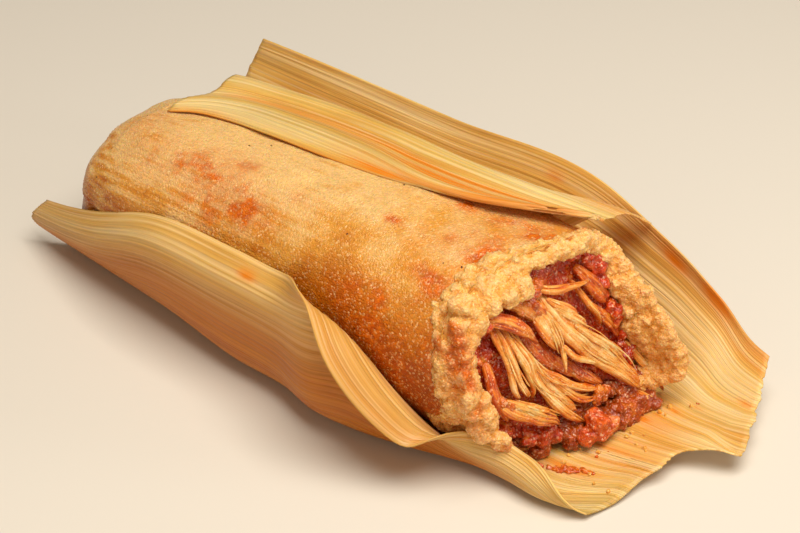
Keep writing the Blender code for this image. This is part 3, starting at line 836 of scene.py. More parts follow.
band_big = 1.25 + 0.55 * near_top + 0.30 * noise_at(band_turn * 24.0, band_share * 6.0, 4.0, 33)
band_depth = np.maximum(band_share, 0.0)
band_big = band_big * (1.0 - 0.35 * np.maximum(-band_share, 0.0))
band_in = band_big + 0.25 * np.maximum(-band_share, 0.0)
band_in = band_in + band_depth * np.maximum(band_thick - 2.0 * band_big, 0.3)
edge_y, edge_z = dough_section(np.full_like(band_turn, 38.0), band_turn)
step_y, step_z = dough_section(np.full_like(band_turn, 38.0), band_turn + 0.01)
step = np.maximum(np.hypot(step_y - edge_y, step_z - edge_z), 1e-9)
band_y = edge_y - band_in * (step_z - edge_z) / step
band_z = edge_z + band_in * (step_y - edge_y) / step
edge_x = tear_x(edge_y, edge_z) - band_big - band_reach * np.maximum(-band_share, 0.0)
inner_x = filling_x(band_y, band_z) + 0.5
band_x = edge_x + band_depth ** 0.95 * (inner_x - edge_x)
band_centres = settled(np.stack([band_x, band_y, np.maximum(band_z, 2.0)], -1)).reshape(-1, 3)
band_centres += rng.uniform(-0.45, 0.45, band_centres.shape)
band_sizes = band_big.reshape(-1, 1) * rng.uniform(0.85, 1.30, band_centres.shape)
# Lumps hang over the mouth at its near top corner, and a thick block stands on the near side.
hanging = np.array([
    [30.6, -19.4, 35.6], [31.8, -18.4, 33.8], [32.4, -17.6, 32.0], [33.0, -14.6, 34.4], [34.0, -11.4, 35.2],
    [35.0, -8.2, 35.8], [31.4, -21.4, 33.0], [31.8, -21.6, 31.0],
])
hanging_sizes = rng.uniform(1.5, 2.2, (len(hanging), 1)) * rng.uniform(0.85, 1.2, (len(hanging), 3))
near_block = np.array([
    [34.2, -23.4, 24.0], [35.2, -22.4, 21.6], [35.2, -23.4, 19.8], [36.4, -21.0, 18.6],
    [36.0, -22.6, 16.8], [37.0, -20.6, 15.4], [36.4, -22.2, 13.6], [37.0, -21.2, 11.8],
])
near_block_sizes = rng.uniform(1.8, 2.4, (len(near_block), 1)) * rng.uniform(0.85, 1.15, (len(near_block), 3))
loose = rng.integers(0, len(band_centres), LOOSE_CRUMBS)
ways = rng.normal(size=(LOOSE_CRUMBS, 3)) + np.array([0.5, -0.2, 0.6])
ways /= np.linalg.norm(ways, axis=1, keepdims=True)
loose_centres = band_centres[loose] + ways * band_sizes[loose] * 1.05
loose_sizes = rng.uniform(0.35, 0.8, (LOOSE_CRUMBS, 1)) * rng.uniform(0.8, 1.25, (LOOSE_CRUMBS, 3))
crumb_points, crumb_faces = join([
    lumps(band_centres, band_sizes, rough=0.15, seed=71, rows=12, columns=18, block=0.85),
    lumps(hanging, hanging_sizes, rough=0.30, seed=74, rows=16, columns=24, block=0.8),
    lumps(near_block, near_block_sizes, rough=0.25, seed=77, rows=16, columns=24, block=0.75),
    lumps(loose_centres, loose_sizes, rough=0.3, seed=80),
])
crumb_points, crumb_faces = joined_skin(crumb_points, crumb_faces, voxel=0.22)
crumb_points = evened(crumb_points, crumb_faces, turns=3)
crumb_points, crumb_hollows = grained(crumb_points, crumb_faces, size=0.60, height=0.38, seed=85)
crumb_points[:, 2] = np.maximum(crumb_points[:, 2], 0.9)
# Fat and sauce gather along the filling and in one run down the near side. The hollows are painted red
# with the fat's colour as shade, and the crumbs are redder below the top.
x, y, z = crumb_points.T
wall_inside = smooth(2.6 - (x - filling_x(y, z)), 0.0, 2.4) * smooth(x, 30.0, 34.0)
run = hump(y, -23.6, 1.5) * smooth(z, 15.0, 20.0)
crumb_fat_and_shade = 0.15 * smooth(crumb_hollows, 0.08, 0.60) + 0.14 * smooth(37.0 - z, 0.0, 7.0)
crumb_fat_and_shade = crumb_fat_and_shade + 0.45 * wall_inside * smooth(noise(crumb_points, 3.0, 36), -0.5, 0.6)
crumb_fat_and_shade = crumb_fat_and_shade + 0.9 * run * smooth(noise(crumb_points, 2.0, 37), -0.6, 0.3)
damp_foot = smooth(12.0 - z, 0.0, 4.0) * smooth(y + 22.0, 0.0, 3.0)
crumb_fat_and_shade = crumb_fat_and_shade + 0.40 * damp_foot * fall(y, 0.0, 10.0)
# Painted light: the grains that stand clear of the hollows are made paler on the torn face.
lit_tops = smooth(-crumb_hollows, -0.15, 0.35)
crumbs = add_piece(
    "masa_crumbs", crumb_points, crumb_faces, dough_material,
    marks={"fat": crumb_fat_and_shade, "lip": np.ones(len(crumb_points)), "lit_tops": lit_tops},
)
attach(crumbs, "root")


# ------------------------------------------------------------------------------------------------
# The filling: chicken stewed in red chile sauce until it falls into threads, with soft tomato. The bulk is
# sauce and minced meat; its wet front slopes back under the torn top, and its foot spills on the husk.
# ------------------------------------------------------------------------------------------------

FILLING_RING = 330
FACE_ROWS = 120
CLOTS = 170
FOOT_LUMPS = 120
FRONT = np.array([1.0, -0.12, 0.34]) / np.linalg.norm([1.0, -0.12, 0.34])    # out of the filling's front


def filling_rows():
    """Rings of the closed skin of the filling: its hidden length in a few rings, then its front from the
    rim inwards, pushed out into lumps and drawn in to hollows."""
    angle = np.linspace(0, 2 * np.pi, FILLING_RING, endpoint=False)
    rows = []
    rear = FILLING_REAR + 0.5
    x = np.full_like(angle, 40.0)
    for _ in range(6):
        y, z = dough_section(x, angle, DOUGH_WALL, 0.3)
        x = np.minimum(filling_x(y, z), tear_x(y, z) - 0.2)
    for share in (0.0, 0.4, 0.8, 1.0):
        ring = rear + share * (x - rear)
        rows.append(np.stack([ring, *dough_section(ring, angle, DOUGH_WALL + 2.0 * (1 - share), 0.3)], -1))
    rim = rows[-1]
    middle = rim.mean(axis=0)
    for share in np.linspace(1, 0.01, FACE_ROWS)[1:]:
        ring = middle + share * (rim - middle)
        flat = filling_x(ring[:, 1], ring[:, 2])
        ring[:, 0] = flat + (rim[:, 0] - filling_x(rim[:, 1], rim[:, 2])) * share**3
        bulge = 1.5 * (0.5 - cells(ring, 4.2, 81)) + 0.9 * (0.5 - cells(ring, 1.9, 84))
        bulge = bulge + 0.9 * noise(ring, 7.0, 87) + 0.5 * (0.5 - cells(ring, 0.95, 88))
        rows.append(ring + FRONT * ((bulge - 0.3) * smooth(1.0 - share, 0.0, 0.12))[:, None])
    return np.stack(rows)


def sauce_finish(name, deep, mid, oily):
    """Red chile sauce: a wet puree of chiles and tomato with fat. It is deep red and glossy, with orange
    where the fat gathers; its fine pulp breaks the highlights into tiny glints, and more glints are
    painted on single grains as pale highlights."""
    finish, tree, shader = new_finish(name)
    pulp, pool, grit = 0.0009, 0.0030, 0.00036
    where = add(tree, "TexCoord", out="Object")
    fine = add(tree, "TexNoise", {"Vector": where, "Scale": 1 / pulp, "Detail": 3.0})
    broad = add(tree, "TexNoise", {"Vector": where, "Scale": 1 / pool, "Detail": 4.0})
    grits = add(tree, "TexVoronoi", {"Vector": where, "Scale": 1 / grit})
    both = add(tree, "Mix", {0: 0.4, 2: broad, 3: fine})
    tone = add(tree, "ValToRGB", {"Fac": both}, [(0.38, deep), (0.66, oily), (0.54, mid)])
    # Painted glints: a few grains turn pale as highlights.
    glinted, each = gritty(tree, grits, tone, dim=0.72, pick=2, start=0.86, strength=0.62, glint_colour="#FFD2A8")
    gloss = add(tree, "MapRange", {"Value": each[1], "To Min": 0.05, "To Max": 0.28})
    relief = add(tree, "Bump", {"Height": fine, "Distance": 0.0004, "Strength": 0.7})
    broken = {"Height": grits, "Normal": relief, "Distance": 0.0002, "Strength": 0.7}
    pulpy = add(tree, "Bump", broken, invert=True)
    plug(tree, shader, {
        "Base Color": glinted, "Roughness": gloss, "Normal": pulpy, "IOR": 1.50, "Specular IOR Level": 0.3,
        "Coat Weight": 0.7, "Coat Roughness": 0.04, "Coat Normal": pulpy,
        "Subsurface Weight": 0.2, "Subsurface Radius": (1.0, 0.25, 0.06), "Subsurface Scale": 0.0015,
    })
    return finish


sauce_material = sauce_finish("red_chile_sauce", deep="#AC2404", mid="#D6460A", oily="#F09234")
filling = settled(filling_rows())
filling_faces = closed_faces(len(filling), FILLING_RING)
filling_piece = add_piece("filling_body", close(filling), filling_faces, sauce_material)
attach(filling_piece, "root")
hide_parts("filling")

# Clots of sauce lie along the rim of the filling, where it meets the torn dough.
edge_ring = filling[3]
picked = rng.integers(0, len(edge_ring), CLOTS)
clot_sizes = rng.uniform(0.6, 1.4, (CLOTS, 1)) * rng.uniform(0.8, 1.3, (CLOTS, 3))
inward = (edge_ring.mean(axis=0) - edge_ring[picked]) / 20.0
clot_centres = edge_ring[picked] + inward * rng.uniform(-0.8, 2.0, (CLOTS, 1))
clot_centres = clot_centres + FRONT * rng.uniform(-0.3, 0.7, (CLOTS, 1))
clot_points, clot_faces = lumps(clot_centres, clot_sizes, rough=0.3, seed=97, rows=14, columns=20, grain=0.4)
clot_points, clot_faces = joined_skin(clot_points, clot_faces, voxel=0.28)
clots = add_piece("sauce_clots", clot_points, clot_faces, sauce_material)
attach(clots, "root")

# The foot of the filling: lumps of minced meat in sauce that have come out over the dough's lower lip.
foot_y = rng.uniform(-12.5, 16.0, FOOT_LUMPS)
foot_x = through(foot_y, (-13, -11, -5, -2, 7, 13, 17), (38.5, 40.5, 44, 45.5, 48, 49.5, 49.5))
foot_back = rng.uniform(0.0, 5.5, FOOT_LUMPS)
foot_z = 1.9 + foot_back * rng.uniform(0.3, 1.35, FOOT_LUMPS)
foot_centres = np.stack([foot_x - foot_back - 0.4, foot_y, foot_z], -1)
foot_sizes = rng.uniform(0.8, 2.0, (FOOT_LUMPS, 1)) * rng.uniform(0.75, 1.3, (FOOT_LUMPS, 3))
foot_points, foot_faces = lumps(
    foot_centres, foot_sizes, rough=0.40, seed=91, rows=14, columns=20, grain=0.6, block=0.85,
)
foot_points, foot_faces = joined_skin(foot_points, foot_faces, voxel=0.26)
foot_points, _ = grained(foot_points, foot_faces, size=1.1, height=0.5, seed=92)
foot_points[:, 2] = np.maximum(foot_points[:, 2], 0.8)
mince_material = sauce_finish("minced_chicken_in_sauce", deep="#8E2A04", mid="#BE500C", oily="#DE8028")
foot = add_piece("filling_foot", foot_points, foot_faces, mince_material)
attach(foot, "root")


# ------------------------------------------------------------------------------------------------
# The chicken: breast meat pulled into bundles of muscle threads, pale orange where they stand out of the
# sauce and red between them. Thick bundles lie down the torn face, with thin shreds over and beside them.
# ------------------------------------------------------------------------------------------------

def chicken_finish():
    """Stewed chicken: strands of muscle fibre soaked in chile fat. They are pale orange and moist, finely
    lined along their length, with red sauce held in the grooves and painted glints on single grains.
    Marks: pale, how far a strand stands clear of the sauce."""
    finish, tree, shader = new_finish("stewed_chicken")
    fibre, patch, grit, fluff = 0.00028, 0.0024, 0.00032, 0.00040
    where = add(tree, "TexCoord", out="Object")
    pale = add(tree, "Attribute", out="Fac", attribute_name="pale")
    sheet = add(tree, "UVMap", uv_map="sheet")
    lengthways = add(tree, "Mapping", {"Vector": sheet, "Scale": (0.06, 1.0, 1.0)})
    fine = add(tree, "TexNoise", {"Vector": lengthways, "Scale": 1 / fibre, "Detail": 1.0})
    broad = add(tree, "TexNoise", {"Vector": where, "Scale": 1 / patch, "Detail": 3.0})
    fuzz = add(tree, "TexNoise", {"Vector": where, "Scale": 1 / fluff, "Detail": 2.0})
    grits = add(tree, "TexVoronoi", {"Vector": where, "Scale": 1 / grit})
    mixed = add(tree, "Math", {0: broad, 1: 0.55, 2: pale}, operation="MULTIPLY_ADD")
    lined = add(tree, "Math", {0: fine, 1: 0.45, 2: mixed}, operation="MULTIPLY_ADD")
    tones = [(0.34, "#982804"), (1.0, "#FFD694"), (0.46, "#CC500C"), (0.62, "#E9841F"), (0.82, "#F9B056")]
    tone = add(tree, "ValToRGB", {"Fac": lined}, tones)
    # Painted glints: a few grains turn pale as highlights.
    glinted, _ = gritty(tree, grits, tone, dim=0.86, pick=1, start=0.84, strength=0.45, glint_colour="#FFE4B8")
    gloss = add(tree, "MapRange", {"Value": broad, "To Min": 0.18, "To Max": 0.5})
    lines = add(tree, "Bump", {"Height": fine, "Distance": 0.00018, "Strength": 0.8})
    relief = add(tree, "Bump", {"Height": fuzz, "Normal": lines, "Distance": 0.00026, "Strength": 0.8})
    plug(tree, shader, {
        "Base Color": glinted, "Roughness": gloss, "Normal": relief, "IOR": 1.42,
        "Coat Weight": 0.45, "Coat Roughness": 0.10, "Coat Normal": relief,
        "Subsurface Weight": 0.3, "Subsurface Radius": (1.0, 0.35, 0.10), "Subsurface Scale": 0.0012,
    })
    return finish


LINE_POINTS = 300
STRAND_STEPS = 30
STRAND_SIDES = 8


def laid_line(line):
    """The smooth line through points given as (y, z, distance off the filling's front): its points, the
    directions across it and out of it, and the length so far."""
    spots = np.linspace(0, 1, len(line))
    dense = np.linspace(0, 1, LINE_POINTS)
    y, z, off = (through(dense, spots, [p[k] for p in line]) for k in range(3))
    path = np.stack([filling_x(y, z), y, z], -1) + FRONT * off[:, None]
    length = np.concatenate([[0.0], np.cumsum(np.linalg.norm(np.diff(path, axis=0), axis=1))])
    ahead = np.gradient(path, axis=0)
    ahead /= np.linalg.norm(ahead, axis=1, keepdims=True)
    across = np.cross(FRONT, ahead)
    across /= np.linalg.norm(across, axis=1, keepdims=True)
    return path, across, np.cross(ahead, across), length


def muscle(line, widths, thick, fray, tint, seed):
    """One pulled piece of muscle: a flat closed tube along the line, domed in section, whose fibres are
    rounded ridges at three spacings that run its whole length and close up where it is narrow. Each fibre
    starts and ends at its own share of the length, so the ends are frayed. Gives points, faces, (along,
    across) in millimetres and the pale mark."""
    path, across, out, length = laid_line(line)
    spots = np.linspace(0, 1, len(line))
    widest = max(widths)
    steps, sides = int(26 + 2.4 * length[-1]), int(26 + 15 * widest)
    turn = np.linspace(0, 1, sides, endpoint=False)
    angle = np.interp(turn, (0.0, 0.8, 1.0), (-0.2, np.pi + 0.2, 2 * np.pi - 0.2))[None, :]
    lane = np.cos(angle)
    fibre = lane * widest
    k = np.linspace(0, 1, steps)[:, None]
    first = fray[0] * (0.5 + 0.5 * noise_at(fibre, 0.0, 0.7, seed + 1))
    last = 1.0 - fray[1] * (0.5 + 0.5 * noise_at(fibre, 0.0, 0.7, seed + 2))
    share = np.clip(first + (last - first) * k, 0, 1)
    at = (share * (LINE_POINTS - 1)).astype(int)
    along = length[at]
    half = through(share.ravel(), spots, widths).reshape(share.shape)
    wander = 0.25 * noise_at(along / 6.0, 0.0, 1.0, seed + 7)
    cord = np.abs(noise_at((fibre + wander) / 0.95, along / 11.0, 1.0, seed + 3)) ** 0.6
    thread = np.abs(noise_at((fibre + wander) / 0.42, along / 8.0, 1.0, seed + 4)) ** 0.7
    hair = np.abs(noise_at((fibre + wander) / 0.24, along / 4.0, 1.0, seed + 5))
    ridge = 0.5 * cord + 0.35 * thread + 0.15 * hair
    closing = np.clip(np.minimum(k / 0.07, (1.0 - k) / 0.12), 0.02, 1.0) ** 0.6
    dome = np.sin(angle)
    dome = np.sign(dome) * np.abs(dome) ** 0.75
    tall = thick * closing * (1.0 + 0.18 * noise_at(along / 3.0, 0.0, 1.0, seed + 6))
    lift = tall * dome + closing * np.maximum(dome, 0.0) * (1.25 * min(thick, 0.9) * (ridge - 0.45))
    lift = lift + 0.30 * noise_at(along / 4.0, fibre / 2.0, 1.0, seed + 8)
    side = half * lane * (0.45 + 0.55 * closing) + 0.22 * noise_at(along / 3.5, fibre / 3.0, 1.0, seed + 9)
    points = path[at] + across[at] * side[..., None] + out[at] * lift[..., None]
    uv = np.stack(np.broadcast_arrays(along, fibre + 9.0 * (turn > 0.8)), -1)
    pale = -0.12 + 0.66 * ridge + 0.14 * np.maximum(dome, -0.5)
    pale = pale + 0.10 * noise_at(along / 3.0, fibre / 1.2, 1.0, seed + 10)
    pale = tint + pale - 0.30 * (np.abs(k - 0.44) * 2) ** 4
    faces = quads(steps, sides, closed=True).tolist()
    faces += [list(range(sides)), list(range(steps * sides - 1, (steps - 1) * sides - 1, -1))]
    return points.reshape(-1, 3), faces, uv.reshape(-1, 2), pale.ravel()


def strands(line, widths, count, radius, fray, tint, seed):
    """Single fibres that have come loose round a piece of muscle. Each keeps its lane across the bundle,
    starts and ends at its own share of the length and tapers to a point there. Gives points, faces,
    (along, around) in millimetres and the pale mark."""
    rng = np.random.default_rng(seed)
    path, across, out, length = laid_line(line)
    spots = np.linspace(0, 1, len(line))
    k = np.linspace(0, 1, STRAND_STEPS)[None, :]
    share = rng.uniform(0, fray, (count, 1)) * (1 - k) + k * (1.0 - rng.uniform(0, fray, (count, 1)))
    at = np.clip((share * (LINE_POINTS - 1)).astype(int), 0, LINE_POINTS - 1)
    half = through(share.ravel(), spots, widths).reshape(share.shape)
    lane = (np.arange(count)[:, None] + rng.uniform(0.2, 0.8, (count, 1))) / count * 2 - 1
    drift = np.stack(np.broadcast_arrays(9.0 * lane, 2.6 * share, 1.0 * seed), -1)
    side = half * lane + 0.35 * half * noise(drift, 0.9, seed + 1) + 0.12 * noise(drift, 0.4, seed + 2)
    lift = 0.5 * noise(drift, 0.8, seed + 3)
    spine = path[at] + across[at] * side[..., None] + out[at] * lift[..., None]
    tips = rng.uniform(0.05, 0.35, (2, count, 1))
    taper = np.minimum(np.clip(k / tips[0], 0.05, 1.0), np.clip((1.0 - k) / tips[1], 0.05, 1.0)) ** 0.6
    thick = radius * rng.uniform(0.6, 1.3, (count, 1)) * taper * (1.0 + 0.25 * noise(drift, 0.3, seed + 4))
    angle = np.linspace(0, 2 * np.pi, STRAND_SIDES, endpoint=False)
    points = (
        spine[:, :, None]
        + across[at][:, :, None] * (thick[..., None] * np.cos(angle))[..., None]
        + out[at][:, :, None] * (0.8 * thick[..., None] * np.sin(angle))[..., None]
    )
    size = STRAND_STEPS * STRAND_SIDES
    body = quads(STRAND_STEPS, STRAND_SIDES, closed=True)
    start = np.arange(STRAND_SIDES)
    faces = []
    for strand in range(count):
        faces += (body + strand * size).tolist()
        faces.append((start + strand * size).tolist())
        faces.append((start[::-1] + strand * size + size - STRAND_SIDES).tolist())
    around = radius * np.abs(angle - np.pi) + 7.0 * np.arange(count)[:, None, None]
    uv = np.stack(np.broadcast_arrays(length[at][..., None], around), -1)
    pale = tint + 0.26 + 0.12 * rng.uniform(-1, 1, (count, 1)) + 0.10 * noise(drift, 0.8, seed + 5)
    pale = pale[..., None] + 0.10 * np.sin(angle)
    return points.reshape(-1, 3), faces, uv.reshape(-1, 2), pale.ravel()


chicken_material = chicken_finish()
# Meat left in lumps and coated in sauce lies at the head of the shreds.
# Each lump: y, z and distance off the filling's front.
mass_line = np.array([
    [-11.2, 33.2, 0.2], [-9.4, 32.4, 0.9], [-7.4, 31.6, 1.3], [-5.6, 30.2, 1.5], [-4.0, 31.6, 1.1],
    [-8.2, 30.2, 1.0], [-6.2, 32.8, 0.8], [-3.0, 33.0, 0.6], [-5.4, 28.6, 0.9], [4.8, 8.8, 2.1],
    [6.2, 8.4, 2.0], [3.8, 7.4, 1.8], [5.6, 7.2, 1.6], [-17.2, 16.6, 1.0], [-16.0, 15.0, 1.7],
    [-14.2, 13.6, 2.0],
])
mass_centres = np.stack([filling_x(mass_line[:, 0], mass_line[:, 1]), mass_line[:, 0], mass_line[:, 1]], -1)
mass_centres = mass_centres + FRONT * mass_line[:, 2:]
mass_big = np.where(np.arange(len(mass_line)) < 9, 1.4, 1.0)[:, None]
mass_sizes = mass_big * rng.uniform(0.8, 1.25, (len(mass_line), 3))
mass_points, mass_faces = lumps(mass_centres, mass_sizes, rough=0.3, seed=98, rows=16, columns=24, block=0.85)
mass_points, mass_faces = joined_skin(mass_points, mass_faces, voxel=0.2)
mass_points, _ = grained(mass_points, mass_faces, size=0.8, height=0.4, seed=99)
lump_material = sauce_finish("chicken_lumps_in_sauce", deep="#B8400A", mid="#DC7018", oily="#F0983C")
mass = add_piece("meat_lumps", mass_points, mass_faces, lump_material)
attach(mass, "root")

# Each shred's muscles: middle line as (y, z, off), half widths, thickness, fray at both ends, tint.
muscles = {
    "shred_bent": (
        (((-14.6, 29.4, -0.2), (-14.2, 24.4, 1.4), (-14.3, 19.4, 1.6), (-13.8, 16.6, 1.4),
          (-12.6, 14.6, 0.8)), (0.6, 0.65, 0.55, 0.45, 0.15), 0.60, (0.0, 0.10), 0.0),
        (((-13.7, 29.4, 0.2), (-13.4, 23.6, 1.9), (-12.8, 19.4, 2.0), (-11.7, 16.0, 1.7), (-10.9, 14.2, 1.0)),
         (0.6, 0.75, 0.7, 0.6, 0.2), 0.70, (0.0, 0.08), 0.02),
        (((-12.8, 29.0, 0.3), (-11.8, 23.0, 2.2), (-10.7, 18.6, 2.3), (-10.1, 16.2, 2.0), (-10.4, 13.6, 1.0)),
         (0.6, 0.75, 0.6, 0.5, 0.25), 0.65, (0.0, 0.08), 0.02),
        (((-12.2, 28.6, 0.3), (-10.4, 22.4, 2.2), (-9.1, 16.8, 2.3), (-7.5, 13.2, 2.4), (-5.2, 9.8, 2.3),
          (-2.6, 6.9, 2.0), (0.4, 4.0, 1.6)), (0.6, 0.8, 0.85, 1.0, 1.1, 0.9, 0.2), 0.80, (0.0, 0.08), 0.02),
        (((-11.4, 28.2, 0.2), (-9.6, 22.4, 2.0), (-7.8, 17.4, 2.2), (-5.3, 12.9, 2.2), (-2.8, 9.4, 1.9),
          (-0.6, 6.8, 1.2)), (0.6, 0.7, 0.75, 0.9, 0.8, 0.3), 0.70, (0.0, 0.10), 0.0),
        (((-10.8, 27.8, 0.0), (-9.0, 20.8, 1.8), (-6.0, 16.2, 2.1), (-3.2, 12.4, 2.1), (0.0, 9.4, 1.9),
          (5.0, 7.4, 1.4)), (0.5, 0.6, 0.75, 0.8, 0.8, 0.5), 0.70, (0.0, 0.14), -0.02),
        (((-10.2, 27.2, -0.2), (-9.3, 22.0, 1.4), (-7.0, 18.3, 1.8), (-4.3, 15.5, 2.0), (-1.1, 12.4, 2.0),
          (2.4, 10.4, 1.9), (7.0, 8.2, 1.4)), (0.5, 0.6, 0.7, 0.7, 0.75, 0.8, 0.7), 0.75, (0.0, 0.16), 0.0),
    ),
    "shred_low": (
        (((-17.6, 16.6, 0.4), (-15.6, 14.4, 1.8), (-12.1, 11.8, 2.6), (-8.2, 9.0, 2.6), (-4.4, 5.4, 1.4)),
         (1.0, 1.8, 1.5, 1.2, 0.25), 1.0, (0.03, 0.34), -0.12),
        (((-16.6, 16.4, 1.4), (-13.8, 14.0, 2.9), (-10.0, 12.0, 3.2), (-6.6, 9.6, 2.2)), (0.5, 0.9, 0.8, 0.3),
         0.6, (0.0, 0.30), 0.02),
    ),
    "shred_straight": (
        (((-2.4, 31.0, 0.0), (-1.1, 26.1, 1.6), (1.8, 21.4, 2.4), (6.0, 16.2, 2.4), (10.5, 11.0, 2.2),
          (13.6, 6.8, 1.8), (15.3, 3.0, 1.0)), (0.9, 1.6, 2.4, 2.5, 2.0, 1.4, 0.3), 1.3, (0.0, 0.09), 0.04),
        (((-4.8, 30.8, 0.0), (-4.4, 27.4, 1.5), (-3.5, 24.2, 2.2), (-2.6, 21.6, 2.3), (-1.7, 19.4, 1.2)),
         (1.0, 1.8, 1.9, 1.3, 0.2), 1.0, (0.0, 0.14), 0.0),
        (((-1.9, 29.8, 1.6), (1.4, 26.6, 2.7), (4.8, 23.2, 1.9)), (0.5, 0.9, 0.2), 0.5, (0.0, 0.35), -0.02),
        (((-0.9, 27.6, 2.2), (2.8, 24.0, 3.2), (6.3, 20.4, 2.3)), (0.5, 0.9, 0.3), 0.5, (0.0, 0.30), 0.02),
        (((1.4, 24.0, 3.2), (6.0, 18.6, 3.7), (10.4, 14.2, 3.2), (12.6, 11.4, 2.4)), (0.5, 1.0, 0.9, 0.3),
         0.5, (0.05, 0.30), 0.06),
        (((-1.5, 20.6, 2.2), (-2.0, 18.2, 2.8), (-2.2, 15.3, 2.1)), (0.5, 0.42, 0.06),
         0.40, (0.0, 0.05), 0.04),
        (((-1.7, 20.8, 2.2), (0.1, 17.8, 3.0), (3.1, 15.7, 2.9), (6.8, 13.2, 2.3)), (0.5, 0.65, 0.6, 0.3),
         0.55, (0.0, 0.10), 0.04),
    ),
    "shred_hook": (
        (((-16.2, 32.0, 0.0), (-13.8, 30.8, 1.8), (-11.3, 28.8, 2.6), (-9.1, 26.8, 2.6), (-7.7, 24.8, 2.0),
          (-6.6, 22.8, 1.3)), (1.1, 1.4, 1.4, 1.0, 0.6, 0.06), 1.0, (0.0, 0.04), -0.26),
    ),
    "shred_cross": (
        (((-4.4, 32.8, 0.2), (-0.9, 31.1, 2.0), (2.9, 29.9, 2.3), (6.6, 29.2, 2.2), (9.2, 28.9, 1.8)),
         (0.9, 0.85, 0.8, 0.45, 0.05), 0.60, (0.0, 0.03), -0.20),
    ),
    "shred_side": (
        (((14.6, 14.4, 0.0), (17.2, 9.0, 1.8), (18.9, 5.2, 1.9), (21.2, 0.8, 1.0)), (0.7, 0.9, 0.7, 0.06),
         0.75, (0.0, 0.04), 0.0),
        (((16.6, 14.6, -0.2), (18.8, 10.4, 1.2), (20.9, 6.4, 0.9)), (0.5, 0.7, 0.2), 0.6, (0.0, 0.08), -0.12),
    ),
    "shred_tip": (
        (((13.0, 5.0, 0.8), (15.2, 2.6, 2.5), (17.4, 0.9, 3.4)), (0.7, 0.9, 0.08), 0.7, (0.0, 0.04), -0.06),
    ),
}
# Loose fibres: middle line, half widths, number, radius, fray, tint.
loose_fibres = {
    "shred_bent": (
        (((-12.4, 27.0, 1.8), (-8.6, 17.0, 3.1), (-2.6, 11.6, 3.0), (3.6, 8.6, 2.2)), (1.2, 2.2, 2.4, 1.8),
         5, 0.15, 0.4, 0.02),
        (((-13.6, 26.0, 2.2), (-12.6, 20.0, 2.7), (-11.0, 15.6, 2.2)), (0.8, 1.4, 1.2), 3, 0.15, 0.3, 0.0),
    ),
    "shred_low": (
        (((-15.4, 15.8, 2.0), (-11.4, 12.4, 3.4), (-5.8, 7.8, 2.4)), (0.6, 1.3, 1.5), 7, 0.22, 0.4, 0.02),
    ),
    "shred_straight": (
        (((-1.4, 27.0, 2.4), (4.6, 19.4, 3.8), (10.8, 11.8, 3.3), (15.0, 5.0, 2.0)), (0.8, 2.2, 2.0, 0.9),
         6, 0.15, 0.4, 0.04),
        (((-3.6, 28.0, 2.2), (-2.8, 22.6, 3.3), (-1.9, 18.6, 2.2)), (1.2, 1.2, 0.5), 4, 0.20, 0.3, 0.0),
    ),
    "shred_side": (
        (((15.6, 12.4, 1.4), (18.2, 7.0, 2.4), (20.2, 2.6, 1.6)), (0.6, 0.8, 0.4), 3, 0.20, 0.3, 0.0),
    ),
}
for place, (name, bodies) in enumerate(muscles.items()):
    parts = [muscle(*body, 100 + 100 * place + 11 * k) for k, body in enumerate(bodies)]
    fibres = enumerate(loose_fibres.get(name, ()))
    parts += [strands(*loose, 900 + 40 * place + 10 * k) for k, loose in fibres]
    points, faces, uv, pale = join(parts)
    piece = add_piece(name + "_strands", points, faces, chicken_material, uv, {"pale": pale})
    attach(piece, "root")
    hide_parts(name)

# Strips of meat soaked dark red that lie between and behind the others: the same values.
soaked_muscles = (
    (((6.0, 29.8, 0.0), (7.5, 25.3, 1.4), (8.6, 22.4, 1.7), (9.4, 19.4, 0.7)), (0.5, 0.65, 0.65, 0.3), 0.7,
     (0.0, 0.05), -0.12),
    (((8.2, 31.6, -0.4), (9.8, 28.0, 0.9), (11.2, 25.4, 1.1), (13.0, 22.6, 0.2)), (1.0, 1.5, 1.5, 0.7), 0.9,
     (0.0, 0.05), -0.36),
    (((-9.0, 26.0, -0.6), (-6.0, 21.0, 0.2), (-2.0, 15.0, 0.0)), (0.9, 1.5, 1.0), 0.8, (0.0, 0.1), -0.46),
    (((-5.5, 23.0, -0.4), (-3.0, 18.0, 0.6), (1.5, 13.2, 0.4)), (0.9, 1.4, 0.9), 0.9, (0.0, 0.1), -0.40),
    (((0.0, 16.0, -0.4), (3.0, 12.6, 0.6), (7.4, 8.6, 0.2)), (0.9, 1.4, 0.8), 0.8, (0.0, 0.1), -0.34),
    (((9.0, 24.0, -0.2), (12.6, 19.0, 0.6), (15.4, 13.6, 0.0)), (0.7, 1.2, 0.7), 0.8, (0.0, 0.1), -0.32),
    (((-17.4, 24.0, -0.6), (-17.8, 18.0, 0.5), (-16.2, 12.0, 0.2)), (0.8, 1.3, 0.8), 0.8, (0.0, 0.1), -0.36),
    (((-12.0, 34.0, -0.4), (-8.2, 31.6, 1.3), (-4.6, 28.4, 1.2), (-2.6, 25.0, 0.6)), (1.2, 1.9, 1.9, 1.0),
     1.2, (0.0, 0.1), -0.16),
)
red_parts = [muscle(*body, 1500 + 11 * k) for k, body in enumerate(soaked_muscles)]
points, faces, uv, pale = join(red_parts)
red_strands = add_piece("shreds_in_sauce", points, faces, chicken_material, uv, {"pale": pale})
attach(red_strands, "root")


# ------------------------------------------------------------------------------------------------
# Stewed tomato: a soft wet chunk at the foot of the filling, and smears of sauce on the husk.
# ------------------------------------------------------------------------------------------------

